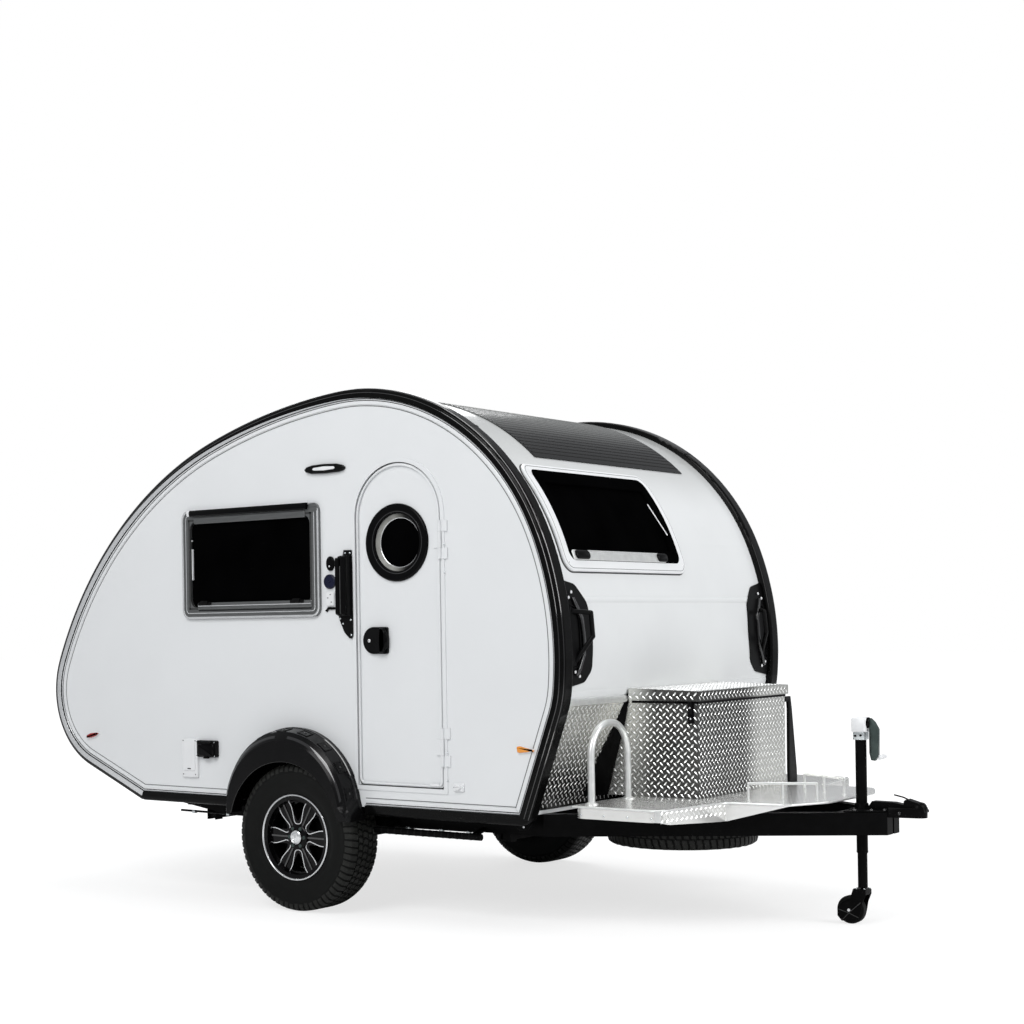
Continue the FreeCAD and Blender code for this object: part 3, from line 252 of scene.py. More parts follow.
def add(name, verts, faces, mat, body="trailer", smooth=True, bevel=0.0):
    """Mesh piece that rides on a body and takes the finish kept under a key."""
    mesh = bpy.data.meshes.new(name)
    mesh.from_pydata([tuple(v) for v in verts], [], faces)
    mesh.materials.append(M[mat])
    obj = bpy.data.objects.new(name, mesh)
    bpy.context.scene.collection.objects.link(obj)
    work = bmesh.new()
    work.from_mesh(mesh)
    bmesh.ops.remove_doubles(work, verts=work.verts, dist=SAME_POINT)
    bmesh.ops.recalc_face_normals(work, faces=work.faces)
    if bevel:
        sharp = [e for e in work.edges if len(e.link_faces) == 2 and e.calc_face_angle(0) > BEVEL_ANGLE]
        bmesh.ops.bevel(work, geom=sharp, offset=bevel, segments=2, affect="EDGES", profile=0.6)
    work.to_mesh(mesh)
    work.free()
    if smooth:
        mesh.shade_smooth()
        mesh.set_sharp_from_angle(angle=SHARP_ANGLE)
    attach(obj, body)
    return obj


class Builder:
    """Gathers many small shapes into one mesh."""

    def __init__(self):
        self.verts, self.faces = [], []

    def put(self, verts, faces, place=None):
        base = len(self.verts)
        self.verts.extend(place @ Vector(v) if place else Vector(v) for v in verts)
        self.faces.extend([[base + i for i in f] for f in faces])

    def make(self, name, mat, body="trailer", **options):
        return add(name, self.verts, self.faces, mat, body, **options)


def arc_points(cx, cy, radius, start, end, steps):
    return [(cx + radius * math.cos(start + (end - start) * i / steps),
             cy + radius * math.sin(start + (end - start) * i / steps)) for i in range(steps + 1)]


def round_rect(u0, u1, v0, v1, radius, steps=6):
    """Closed outline with round corners, counter-clockwise."""
    radius = min(radius, (u1 - u0) / 2 - 1e-5, (v1 - v0) / 2 - 1e-5)
    out = []
    corners = [(u1 - radius, v0 + radius, -90), (u1 - radius, v1 - radius, 0), (u0 + radius, v1 - radius, 90),
               (u0 + radius, v0 + radius, 180)]
    for cu, cv, start in corners:
        out += arc_points(cu, cv, radius, math.radians(start), math.radians(start + 90), steps)
    return out


def rect(x0, x1, z0, z1, radius, steps=6):
    """Round rectangle whose x counts from the axle."""
    return round_rect(from_axle(x0), from_axle(x1), z0, z1, radius, steps)


def shape(points):
    """Outline whose x counts from the axle."""
    return [(from_axle(x), z) for x, z in points]


def layers(rings, closed_ends=True):
    """Skin through rings of equal length, capped at both ends."""
    n = len(rings[0])
    verts = [v for ring in rings for v in ring]
    faces = []
    for k in range(len(rings) - 1):
        for i in range(n):
            j = (i + 1) % n
            faces.append([k * n + i, k * n + j, (k + 1) * n + j, (k + 1) * n + i])
    if closed_ends:
        faces.append(list(range(n))[::-1])
        faces.append([(len(rings) - 1) * n + i for i in range(n)])
    return verts, faces


def shrink(outline, amount):
    """Outline moved inward along the mean normal of its corners."""
    n = len(outline)
    out = []
    for i in range(n):
        ax, ay = outline[i - 1]
        bx, by = outline[(i + 1) % n]
        tx, ty = bx - ax, by - ay
        length = math.hypot(tx, ty) or 1
        out.append((outline[i][0] - ty / length * amount, outline[i][1] + tx / length * amount))
    return out


def cushion(outline, place, height, edge=0.003, base=0.0):
    """Flat boss with a rounded edge: rings of the outline at rising heights, place(u, v, out)."""
    rings = []
    for step in range(5):
        t = step / 4 * math.pi / 2
        inset = edge * (1 - math.cos(t))
        rise = height - edge + edge * math.sin(t)
        rings.append([place(u, v, rise) for u, v in shrink(outline, inset)])
    rings.insert(0, [place(u, v, base) for u, v in outline])
    return layers(rings)


def stack(name, rings, mat, body="trailer", **options):
    return add(name, *layers(rings), mat, body, **options)


def boss(name, outline, place, height, mat, edge=0.003, base=0.0, body="trailer"):
    return add(name, *cushion(outline, place, height, edge, base), mat, body)


def side_place(side):
    """Puts (x, z, out) on a side wall; side is -1 for the curb side."""
    return lambda x, z, out: Vector((x, side * (SIDE_Y + out), z))


CURB = side_place(-1)
CURB_OUT = (0, -1, 0)


def tube(path, radius, steps=12):
    """Round bar along points, with rings turned into each bend."""
    points = [Vector(p) for p in path]
    rings = []
    up = Vector((0, 0, 1))
    first = (points[1] - points[0]).normalized()
    side = first.cross(up)
    if side.length < 0.1:
        side = first.cross(Vector((0, 1, 0)))
    side.normalize()
    for i, p in enumerate(points):
        before = (p - points[i - 1]).normalized() if i else first
        after = (points[i + 1] - p).normalized() if i < len(points) - 1 else before
        along = (before + after).normalized()
        side = (side - along * side.dot(along)).normalized()
        other = along.cross(side)
        rings.append([p + (side * math.cos(TAU * k / steps) + other * math.sin(TAU * k / steps)) * radius
                      for k in range(steps)])
    return layers(rings)


def smooth_path(corners, radius, steps=8):
    """Polyline with each inner corner rounded."""
    pts = [Vector(c) for c in corners]
    out = [pts[0]]
    for i in range(1, len(pts) - 1):
        a, b, c = pts[i - 1], pts[i], pts[i + 1]
        r = min(radius, (b - a).length * 0.49, (c - b).length * 0.49)
        p, q = b + (a - b).normalized() * r, b + (c - b).normalized() * r
        for k in range(steps + 1):
            t = k / steps
            out.append(p * (1 - t) ** 2 + b * 2 * t * (1 - t) + q * t ** 2)
    out.append(pts[-1])
    return out


def lathe(profile, steps, centre=Vector(), axis="y"):
    """Turns (radius, along) points about an axis through centre."""
    rings = []
    for r, a in profile:
        circle = [(math.cos(TAU * k / steps) * r, math.sin(TAU * k / steps) * r) for k in range(steps)]
        rings.append([Vector((c, a, s) if axis == "y" else (c, s, a)) + centre for c, s in circle])
    return layers(rings, False)


def turned(name, profile, steps, centre, mat, body="trailer", axis="y", side=1):
    """Lathed piece; side -1 turns its profile the other way along the axis."""
    profile = [(r, side * a) for r, a in profile]
    return add(name, *lathe(profile, steps, centre, axis), mat, body)


HEAD = ((1.0, -0.2), (1.0, 0.25), (0.82, 0.7), (0.5, 0.95), (0.42, 0.6), (0.02, 0.55))


def screw_heads(name, points, mat="zinc", radius=0.0045, height=0.0025, body="trailer"):
    """Domed screw heads at (point, outward normal) places."""
    built = Builder()
    verts, faces = lathe([(r * radius, a * height) for r, a in HEAD], 10, axis="z")
    for point, normal in points:
        turn = Vector((0, 0, 1)).rotation_difference(Vector(normal)).to_matrix().to_4x4()
        built.put(verts, faces, Matrix.Translation(Vector(point)) @ turn)
    return built.make(name, mat, body)


def curb_screws(name, xs_zs, out, mat, radius, height, body="trailer"):
    """Screw heads on the curb wall at (x from the axle, z)."""
    points = [(CURB(from_axle(x), z, out), CURB_OUT) for x, z in xs_zs]
    return screw_heads(name, points, mat, radius, height, body)


# ---------------------------------------------------------------- the body's outline
# kind, radius or length, turn in degrees, from the front corner over the roof to the rear corner
OUTLINE = [("line", 0.5025, 0.0), ("arc", 0.454, 14.72), ("arc", 1.505, 26.65), ("arc", 1.136, 28.5),
           ("arc", 1.136, 44.94), ("arc", 3.323, 14.59), ("arc", 1.996, 47.92), ("arc", 0.4, 89.64),
           ("line", 0.443, 0.0)]
FRONT_CORNER = (from_axle(1.277), SILL_Z)
FRONT_SLOPE = math.radians(70.1)


def advance(row, kind, size, turn, share=1.0):
    """Row at a share of the way along a stretch of the outline that starts at a row."""
    x, z, heading, distance = row
    if kind == "line":
        run = size * share
        return (x + run * math.cos(heading), z + run * math.sin(heading), heading, distance + run)
    after = heading + turn * share
    x += size * (math.sin(after) - math.sin(heading))
    z += size * (math.cos(heading) - math.cos(after))
    return (x, z, after, distance + size * turn * share)


def outline_points(step=0.02):
    """(x, z, heading, distance) rows along the outline, and the distances where its stretches end."""
    row = (*FRONT_CORNER, FRONT_SLOPE, 0.0)
    rows, ends = [], [0.0]
    for kind, size, degrees in OUTLINE:
        turn = math.radians(degrees)
        length = size if kind == "line" else size * turn
        count = max(2, round(length / step))
        rows += [advance(row, kind, size, turn, k / count) for k in range(count)]
        row = advance(row, kind, size, turn)
        ends.append(row[3])
    return rows + [row], ends


PROFILE, PANEL_ENDS = outline_points()


def between(a, b, t):
    return tuple(p + (q - p) * t for p, q in zip(a, b))


def row_at(distance):
    """Outline row at a distance from the front corner."""
    for a, b in zip(PROFILE, PROFILE[1:]):
        if b[3] >= distance:
            return between(a, b, (distance - a[3]) / (b[3] - a[3]))
    return PROFILE[-1]


def at_height(z):
    """Row of the front of the outline whose point on the panel's outer face is at height z."""
    for a, b in zip(PROFILE, PROFILE[1:]):
        za, zb = a[1] - SKIN_PROUD * math.cos(a[2]), b[1] - SKIN_PROUD * math.cos(b[2])
        if za <= z <= zb:
            return between(a, b, (z - za) / (zb - za))
    return PROFILE[0]


def outside(row, out, y):
    x, z, heading, _ = row
    return Vector((x + out * math.sin(heading), y, z - out * math.cos(heading)))


def front_place(y, z, out):
    """Point at a height on the front panel's outer face, `out` metres off it."""
    return outside(at_height(z), SKIN_PROUD + out, y)


def front_normal(z):
    heading = at_height(z)[2]
    return (math.sin(heading), 0, -math.cos(heading))


def tail_place(distance, y, out):
    """Point on the curved panels at a distance along the outline."""
    return outside(row_at(distance), SKIN_PROUD + out, y)


def cross_strip(name, at, section, mat):
    """Strip from moulding to moulding; section of (distance along, out)."""
    half = TRIM_INNER - 0.002
    stack(name, [[tail_place(at + d, y, out) for d, out in section] for y in (-half, half)], mat)


# ---------------------------------------------------------------- carried-over CAD nodes
CHASSIS_NODES = ["axle", "chassis", "coupler", "jack_tube", "jack_leg", "caster_fork"]
CHASSIS_NODES += ["stabilizer_%s_%s" % (end, side) for end in ("front", "rear") for side in ("left", "right")]
NODE_FINISH = {
    "wood": ["floor"], "wall": ["side_wall_left", "side_wall_right", "entry_door"],
    "panel": ["front_skin", "roof_skin", "rear_skin"], "moulding": ["edge_trim_left", "edge_trim_right"],
    "guard": ["rock_guard"], "gloss_black": ["door_porthole"],
    "plastic": ["door_latch", "grab_handles", "wall_fittings"],
    "alloy": ["window_frame_left", "window_frame_right"],
    "glass": ["window_pane_left", "window_pane_right", "window_pane_front", "rear_window"],
    "frame_white": ["window_frame_front", "roof_vent_lid"], "solar": ["solar_panel"],
    "fender": ["fender_left", "fender_right"], "chassis": CHASSIS_NODES,
    "rubber": ["caster_wheel", "tire_left", "tire_right", "spare_wheel"],
    "plate": ["front_tub", "tub_lid"], "deck": ["front_deck"], "red": ["lamps"],
    "rim": ["rim_left", "rim_right"]}


def dress_nodes():
    finishes = {node: mat for mat, nodes in NODE_FINISH.items() for node in nodes}
    for name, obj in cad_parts.items():
        obj.data.materials.clear()
        obj.data.materials.append(M[finishes[name]])


def paint(node, mat, rule):
    """Gives the faces that the rule picks another material; the rule sees centre and normal."""
    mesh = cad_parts[node].data
    mesh.materials.append(M[mat])
    index = len(mesh.materials) - 1
    for face in mesh.polygons:
        if rule(face.center, face.normal):
            face.material_index = index


def paint_nodes():
    """Faces of nodes that look different from the rest of them."""
    porthole_z = middle("door_porthole").z
    arch_reach, arch_top = 0.47, 0.95

    def in_arch(c, n):
        return abs(n.y) < 0.6 and math.hypot(c.x - LIP_X, c.z - LIP_Z) < arch_reach and c.z < arch_top

    def from_porthole(c):
        return math.hypot(c.x - DOOR_X, c.z - porthole_z)

    paint("floor", "chassis", lambda c, n: n.z < 0.5)
    paint("side_wall_left", "chassis", in_arch)
    paint("side_wall_right", "chassis", in_arch)
    paint("front_deck", "tube", lambda c, n: c.z > DECK_Z + 0.003)
    # the reveal finish holds painted shade on its front side
    paint("door_porthole", "reveal", lambda c, n: from_porthole(c) < 0.1435 and abs(n.y) < 0.5)
    paint("door_porthole", "glass", lambda c, n: from_porthole(c) < 0.141 and abs(n.y) > 0.9)


# ---------------------------------------------------------------- tires
CARCASS = [(0.198, 0.0925), (0.212, 0.103), (0.223, 0.1055), (0.23, 0.1085), (0.238, 0.1085), (0.243, 0.111),
           (0.265, 0.115), (0.29, 0.1165), (0.312, 0.116), (0.316, 0.1172), (0.322, 0.1172), (0.326, 0.115),
           (0.34, 0.1115), (0.35, 0.1055), (0.3585, 0.094), (0.3612, 0.06), (0.3615, 0.02)]
TREAD_STEPS = 66
LUG_TOP = TIRE_R - 0.0004
LUG_BASE = 0.3585


def wrapped(angle, along, radius):
    """Point of a wheel that turns about Y, angle from the top."""
    return Vector((radius * math.sin(angle), along, radius * math.cos(angle)))


def tread_block(built, angle, span, rows):
    """Block over an arc: rows of (across, bottom radius, top radius, shift of the angle)."""
    taper = 0.9                                # width of the block's top over that of its foot
    verts = []
    for across, low, high, shift in rows:
        for edge in (-1, 1):
            verts.append(wrapped(angle + shift + edge * span / 2, across, low))
            verts.append(wrapped(angle + shift + edge * span / 2 * taper, across, high))
    faces = []
    for k in range(len(rows) - 1):
        a, b = 4 * k, 4 * k + 4
        faces += [[a + 1, a + 3, b + 3, b + 1], [a, a + 1, b + 1, b], [a + 3, a + 2, b + 2, b + 3]]
    last = 4 * len(rows) - 4
    faces += [[0, 2, 3, 1], [last, last + 1, last + 3, last + 2]]
    built.put(verts, faces)


def tread(built, half):
    """Shoulder lugs that wrap over the edge and zigzag blocks between them."""
    pitch = TAU / TREAD_STEPS
    squeeze = half / TIRE_HALF
    for k in range(TREAD_STEPS):
        angle = k * pitch
        for side in (-1, 1):
            start = angle + (0.0 if side > 0 else pitch / 2)
            foot = 0.322 if k % 2 else 0.333
            rows = [(0.058, LUG_BASE, LUG_TOP, 0.0), (0.083, LUG_BASE, LUG_TOP - 0.0015, 0.012),
                    (0.1, 0.345, 0.3605, 0.02), (0.1105, foot, 0.3475, 0.026),
                    (0.115, foot - 0.004, foot + 0.006, 0.03)]
            tread_block(built, start, pitch * 0.76,
                        [(side * squeeze * a, lo, hi, s) for a, lo, hi, s in rows])
            near = [(0.0235, LUG_BASE, LUG_TOP, 0.0), (0.038, LUG_BASE, LUG_TOP, 0.018),
                    (0.051, LUG_BASE, LUG_TOP, 0.008)]
            tread_block(built, start + pitch * 0.45, pitch * 0.66,
                        [(side * squeeze * a, lo, hi, s * side) for a, lo, hi, s in near])
        middle_rows = [(-0.016, LUG_BASE, LUG_TOP, -0.012), (0.0, LUG_BASE, LUG_TOP, 0.01),
                       (0.016, LUG_BASE, LUG_TOP, -0.004)]
        tread_block(built, angle + pitch * 0.2, pitch * 0.7, middle_rows)


def tire(name, half, place, body, node):
    """Treaded tire: a smooth carcass with ribbed sidewalls under rows of blocks."""
    squeeze = half / TIRE_HALF
    profile = [(r, -a * squeeze) for r, a in CARCASS]
    profile += [(r, a * squeeze) for r, a in reversed(CARCASS)]
    profile.append(profile[0])
    verts, faces = lathe(profile, 96)
    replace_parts(add(name + "_carcass", [place @ v for v in verts], faces, "rubber", body), node)
    blocks = Builder()
    tread(blocks, half)
    blocks.verts = [place @ v for v in blocks.verts]
    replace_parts(blocks.make(name + "_tread", "tread", body, smooth=False), node)


def tires():
    for side, name in SIDES:
        place = Matrix.Translation((AXLE_X, side * TRACK, WHEEL_Z))
        if side < 0:
            place = place @ Matrix.Rotation(math.pi, 4, "Z")
        tire("tire_" + name, TIRE_HALF, place, "wheel_" + name, "tire_" + name)
    lo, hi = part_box("spare_wheel")
    half = (hi.z - lo.z) / 2
    place = Matrix.Translation((lo + hi) / 2) @ Matrix.Rotation(math.pi / 2, 4, "X")
    tire("spare_tire", half, place, "trailer", "spare_wheel")
    disc = [(0.02, half - 0.006), (0.12, half - 0.006), (0.15, half - 0.034), (0.185, half - 0.04),
            (0.185, -half + 0.025), (0.1915, -half + 0.018), (0.198, -half + 0.022), (0.198, half - 0.022),
            (0.181, half - 0.026), (0.146, half - 0.022), (0.116, half), (0.02, half)]
    steel = turned("spare_steel_wheel", disc, 64, (lo + hi) / 2, "chassis", axis="z")
    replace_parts(steel, "spare_wheel")


# ---------------------------------------------------------------- rims
RIM_FACE = 0.078                  # outer face of the spokes, from the tire's middle
SPOKES = 6
WINDOW_EDGE = ((0.182, 0.066), (0.15, 0.041), (0.112, 0.031), (0.064, 0.02))    # half outline of a window
RIM_NUT = ((0.0105, 0.078), (0.0105, 0.092), (0.0085, 0.0945), (0.002, 0.095))
# name, steps, finish and (radius, out) profile of the turned parts
RIM_PARTS = (
    ("rim_%s_ring", 96, "machined", ((0.2035, 0.1), (0.2045, 0.1062), (0.2075, 0.109), (0.2115, 0.1085),
                                     (0.214, 0.105), (0.2125, 0.1))),
    ("rim_%s_cap", 48, "machined", ((0.0345, 0.095), (0.0345, 0.0975), (0.03, 0.1015), (0.0285, 0.1005),
                                    (0.018, 0.104), (0.0165, 0.1025), (0.002, 0.1035))),
    ("rim_%s_collar", 64, "rim", ((0.0625, 0.078), (0.0625, 0.086), (0.058, 0.09), (0.04, 0.092),
                                  (0.037, 0.098), (0.034, 0.098))),
    ("brake_drum_%s", 64, "chassis", ((0.055, 0.03), (0.14, 0.03), (0.152, 0.018), (0.156, -0.03),
                                      (0.055, -0.03), (0.055, 0.03))))


def ribbon(path, width, low, high, place):
    """Flat raised line along (u, v) points, place(u, v, height)."""
    pts = [Vector(p) for p in path]
    verts, faces = [], []
    for i, p in enumerate(pts):
        before, after = pts[max(i - 1, 0)], pts[min(i + 1, len(pts) - 1)]
        along = (after - before).normalized()
        side = Vector((-along.y, along.x)) * width / 2
        for q, h in ((p - side, low), (p - side * 0.7, high), (p + side * 0.7, high), (p + side, low)):
            verts.append(place(q.x, q.y, h))
    for i in range(len(pts) - 1):
        a = 4 * i
        for k in range(3):
            faces.append([a + k, a + k + 1, a + k + 5, a + k + 4])
    faces += [[0, 1, 2, 3], [len(verts) - 1, len(verts) - 2, len(verts) - 3, len(verts) - 4]]
    return verts, faces


def rim_dress(side, name):
    """Machined outlines of the six windows, ridged spokes, nuts, turned parts and valve."""
    body = "wheel_" + name
    middle_y = side * TRACK

    def on_face(turn):
        c, s = math.cos(turn), math.sin(turn)
        return lambda u, v, h: Vector((AXLE_X + u * c - v * s, middle_y + side * h, WHEEL_Z + u * s + v * c))

    lines, ridges, nuts = Builder(), Builder(), Builder()
    corners = [(*p, 0) for p in WINDOW_EDGE] + [(u, -v, 0) for u, v in reversed(WINDOW_EDGE)]
    outline = [(p.x, p.y) for p in smooth_path(corners, 0.024)]
    low = RIM_FACE - 0.001
    hexagon = [TAU * i / 6 for i in range(6)]
    for k in range(SPOKES):
        window, spoke = on_face(TAU * (k + 0.5) / SPOKES), on_face(TAU * k / SPOKES)
        lines.put(*ribbon(outline, 0.0052, low, RIM_FACE + 0.0018, window))
        ridges.put(*ribbon([(0.06, 0.0), (0.11, 0.0), (0.18, 0.0)], 0.012, low, RIM_FACE + 0.005, spoke))
        nuts.put(*layers([[spoke(0.0475 + r * math.cos(a), r * math.sin(a), height) for a in hexagon]
                          for r, height in RIM_NUT]))
    lines.make("rim_%s_outlines" % name, "machined", body, smooth=False)
    ridges.make("rim_%s_ridges" % name, "shine", body, smooth=False)
    nuts.make("rim_%s_nuts" % name, "crank", body, smooth=False)
    for label, steps, mat, profile in RIM_PARTS:
        turned(label % name, profile, steps, Vector((AXLE_X, middle_y, WHEEL_Z)), mat, body, side=side)
    stem = on_face(TAU * 0.5 / SPOKES + 0.12)
    valve = tube([stem(0.186, 0.0, 0.086), stem(0.176, 0.0, 0.108)], 0.004, 10)
    add("rim_%s_valve" % name, *valve, "plastic", body)


# ---------------------------------------------------------------- diamond plate
DIAMOND_STEP = 0.036
DIAMOND = [(-0.013, 0.0, 0.0), (-0.006, -0.0036, 0.0), (0.006, -0.0036, 0.0), (0.013, 0.0, 0.0),
           (0.006, 0.0036, 0.0), (-0.006, 0.0036, 0.0), (-0.007, 0.0, 0.0017), (0.007, 0.0, 0.0017)]
DIAMOND_FACES = [[0, 1, 6], [1, 2, 7, 6], [2, 3, 7], [3, 4, 7], [4, 5, 6, 7], [5, 0, 6]]


def diamonds(built, u_range, v_range, place, keep=None):
    """Lens-shaped lugs at +45 and -45 degrees over a rectangle, where keep(u, v) allows them."""
    (u0, u1), (v0, v1) = u_range, v_range
    margin = 0.01
    half = DIAMOND_STEP / 2
    columns = int((u1 - u0 - 2 * margin) / half)
    rows = int((v1 - v0 - 2 * margin) / half)
    for i in range(columns + 1):
        for j in range(rows + 1):
            if (i + j) % 2:
                continue
            turn = math.radians(45 if i % 2 else -45)
            c, s = math.cos(turn), math.sin(turn)
            cu, cv = u0 + margin + i * half, v0 + margin + j * half
            if keep and not keep(cu, cv):
                continue
            verts = [place(cu + u * c - v * s, cv + u * s + v * c, h) for u, v, h in DIAMOND]
            built.put(verts, DIAMOND_FACES)


TUB_LO, TUB_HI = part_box("front_tub")
LID_LO, LID_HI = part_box("tub_lid")
DECK_LO, DECK_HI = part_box("front_deck")
DECK_Z = TUB_LO.z
TUB_RIM = LID_LO.z
TUB_HALF = 0.452
GUARD_SKIN = 0.004
# (distance from the axle, half width) along the deck's edge
DECK_EDGE = ((1.5, 0.985), (1.945, 0.985), (2.01, 0.5), (2.3, 0.47), (2.395, 0.25))


def tub_back(z):
    """Back wall of the tub at a height: a little steeper than the front panel."""
    share = (z - DECK_Z) / (TUB_RIM - DECK_Z)
    return front_place(0, z, 0).x + 0.048 + (0.014 - 0.048) * share


def tub_plates():
    built, lid = Builder(), Builder()
    front, reach = TUB_HI.x - 0.014, LID_HI.y
    lid_x, lid_z = (LID_LO.x, LID_HI.x), (LID_LO.z, LID_LO.z + 0.042)
    for side, _ in SIDES:
        diamonds(built, (TUB_LO.x, front), (DECK_Z, TUB_RIM),
                 lambda x, z, h: Vector((x, side * (TUB_HALF + h), z)), lambda x, z: x > tub_back(z) + 0.012)
        diamonds(lid, lid_x, lid_z, lambda x, z, h: Vector((x, side * (reach + h), z)))
    diamonds(built, (-TUB_HALF, TUB_HALF), (DECK_Z, TUB_RIM), lambda y, z, h: Vector((front + h, y, z)))
    built.make("tub_lugs", "lug")
    diamonds(lid, (-reach, reach), lid_z, lambda y, z, h: Vector((LID_HI.x + h, y, z)))
    rise = 0.012 / (LID_HI.x - LID_LO.x)
    diamonds(lid, (LID_LO.x + 0.01, LID_HI.x), (-reach, reach),
             lambda x, y, h: Vector((x, y, LID_HI.z - (x - LID_LO.x) * rise + h)))
    lid.make("lid_lugs", "lug", "lid")


def deck_half(x):
    """Half width of the deck at a distance from the axle."""
    for (x0, half0), (x1, half1) in zip(DECK_EDGE, DECK_EDGE[1:]):
        if x0 <= x <= x1:
            return half0 + (half1 - half0) * (x - x0) / (x1 - x0)
    return 0


def deck_plates():
    """Lugs on the deck and on its skirt, and a bead along its edge."""
    built, skirt = Builder(), Builder()

    def open_deck(x, y):
        in_tub = abs(y) < TUB_HALF + 0.012 and x < TUB_HI.x
        return abs(y) < deck_half(x - AXLE_X) - 0.014 and not in_tub

    diamonds(built, (DECK_LO.x, DECK_HI.x), (-0.985, 0.985),
             lambda x, y, h: Vector((x, y, DECK_Z + h * 0.45)), open_deck)
    built.make("deck_lugs", "deck")
    edge = shape(DECK_EDGE)
    edge += [(x, -y) for x, y in reversed(edge)]
    for (x0, y0), (x1, y1) in zip(edge, edge[1:]):
        run = math.hypot(x1 - x0, y1 - y0)
        along = Vector(((x1 - x0) / run, (y1 - y0) / run, 0))
        out = Vector((along.y, -along.x, 0))
        if out.dot(Vector(((x0 + x1) / 2 - from_axle(1.7), (y0 + y1) / 2, 0))) < 0:
            out = -out
        if max(abs(y0), abs(y1)) >= 0.6 and abs(along.y) >= 0.9 and x0 != x1:
            diamonds(skirt, (0, run), (SILL_Z - 0.004, DECK_Z - 0.001),
                     lambda u, z, h: Vector((x0, y0, 0)) + along * u + out * h + Vector((0, 0, z)))
    skirt.make("deck_skirt_lugs", "lug")
    bead = smooth_path([Vector((x, y, DECK_Z - 0.0052)) for x, y in edge], 0.05, 6)
    add("deck_edge_bead", *tube(bead, 0.0055, 10), "tube")


def guard_plates():
    built = Builder()
    half = TRIM_INNER - 0.012
    diamonds(built, (-half, half), (SILL_Z + 0.03, 1.03),
             lambda y, z, h: front_place(y, z, GUARD_SKIN + h),
             lambda y, z: abs(y) > TUB_HALF - 0.03 or z < DECK_Z)
    built.make("guard_lugs", "lug")


def front_moulding():
    """Two-step metal strip over the top edge of the guard."""
    half = TRIM_INNER - 0.001
    for name, z0, z1, out, mat in (("guard_cap", 1.03, 1.062, 0.011, "tube"),
                                   ("guard_cap_upper", 1.066, 1.098, 0.0028, "panel")):
        section = ((z0, 0.0005), (z0 + 0.001, out * 0.7), (z0 + 0.006, out), (z1 - 0.006, out),
                   (z1 - 0.001, out * 0.7), (z1, 0.0005))
        stack(name, [[front_place(y, z, o) for z, o in section] for y in (-half, half)], mat)


def tub_gap_shades():
    """Black sheet that fills the wedge between the guard and the tub's back wall: painted shade of the gap
    there.
    """
    reaches = ((DECK_Z + 0.003, 0.15), (DECK_Z + 0.2, 0.11), (TUB_RIM - 0.09, 0.04), (TUB_RIM + 0.03, 0.016))
    skin = GUARD_SKIN + 0.003
    for side, name in SIDES:
        rings = []
        for share in (0.0, 0.5, 1.0):
            ring = []
            for z, reach in reaches:
                y = TUB_HALF + 0.003 + reach * share if share else TUB_HALF
                ring.append(front_place(side * y, z, skin))
            for z, reach in reversed(reaches):
                y = TUB_HALF + 0.0025 + reach * share * 0.95
                gap = tub_back(min(z, TUB_RIM)) + 0.004 - front_place(0, z, skin).x
                ring.append(front_place(side * y, z, skin + 0.001) + Vector((gap * (1 - share), 0, 0)))
            rings.append(ring)
        stack("tub_seal_" + name, rings, "chassis", smooth=False)


# ---------------------------------------------------------------- lines along the side edges
# name, finish and section of (y from the wall's face, out from the outline)
EDGE_LINES = (
    ("edge_flange_", "wall", ((0.0, -0.04), (0.0055, -0.0365), (0.006, -0.034), (0.002, -0.02),
                              (0.0, -0.02))),
    # grey line inside the flange: painted shade
    ("edge_shade_line_", "groove", ((0.0, -0.0455), (0.0008, -0.0455), (0.0008, -0.0415), (0.0, -0.0415))),
    ("edge_gap_", "moulding", ((0.0, -0.02), (0.0012, -0.02), (0.0012, -0.0165), (0.0, -0.0165))),
    # bright bead along the moulding's inner edge: painted highlight streak
    ("edge_bead_", "bright", ((0.0, -0.0165), (0.003, -0.016), (0.0048, -0.0135), (0.0048, -0.0115),
                              (0.003, -0.0095), (0.0, -0.009))))
# section of a moulding's clip: (y, out)
TRIM_SECTION = [(TRIM_INNER, 0.011), (TRIM_INNER - 0.0008, 0.036), (TRIM_INNER + 0.006, 0.0425),
                (TRIM_FACE - 0.02, 0.0428), (TRIM_FACE - 0.006, 0.035), (TRIM_FACE + 0.0008, 0.02),
                (TRIM_FACE + 0.0008, -0.0075), (TRIM_FACE - 0.01, -0.0075)]


def edge_rows():
    """Outline rows with the two lower corners mitred and the sill runs that meet the wheel arch."""
    front, rear = PROFILE[0], PROFILE[-1]
    turn_front, turn_rear = front[2], TAU - rear[2]
    rows = [(from_axle(0.372), SILL_Z, 0.0, 1.0),
            (front[0], front[1], turn_front / 2, 1 / math.cos(turn_front / 2))]
    rows += [(*row[:3], 1.0) for row in PROFILE[1:-1]]
    rows += [(rear[0], rear[1], rear[2] + turn_rear / 2, 1 / math.cos(turn_rear / 2)),
             (from_axle(-0.466), SILL_Z, TAU, 1.0)]
    return rows


def edge_lines():
    """Thin lines of the side walls beside the mouldings."""
    rows = edge_rows()
    for side, name in SIDES:
        for label, mat, section in EDGE_LINES:
            stack(label + name, [[Vector((x + out * stretch * math.sin(heading), side * (SIDE_Y + y),
                                          z - out * stretch * math.cos(heading))) for y, out in section]
                                 for x, z, heading, stretch in rows], mat)


def trim_joints():
    """Pairs of clips over the joints of the edge mouldings."""
    built = Builder()
    length, pitch = 0.0045, 0.0065
    for side, _ in SIDES:
        for distance in (0.3, 1.95, 3.5, 5.3):
            for start in (distance, distance + pitch):
                x, z, heading, before = [r for r in PROFILE if r[3] <= start][-1]
                rings = []
                for run in (start - before, start - before + length):
                    row = (x + run * math.cos(heading), z + run * math.sin(heading), heading, 0)
                    rings.append([outside(row, out, side * y) for y, out in TRIM_SECTION])
                built.put(*layers(rings))
    built.make("trim_joints", "plastic", smooth=False)


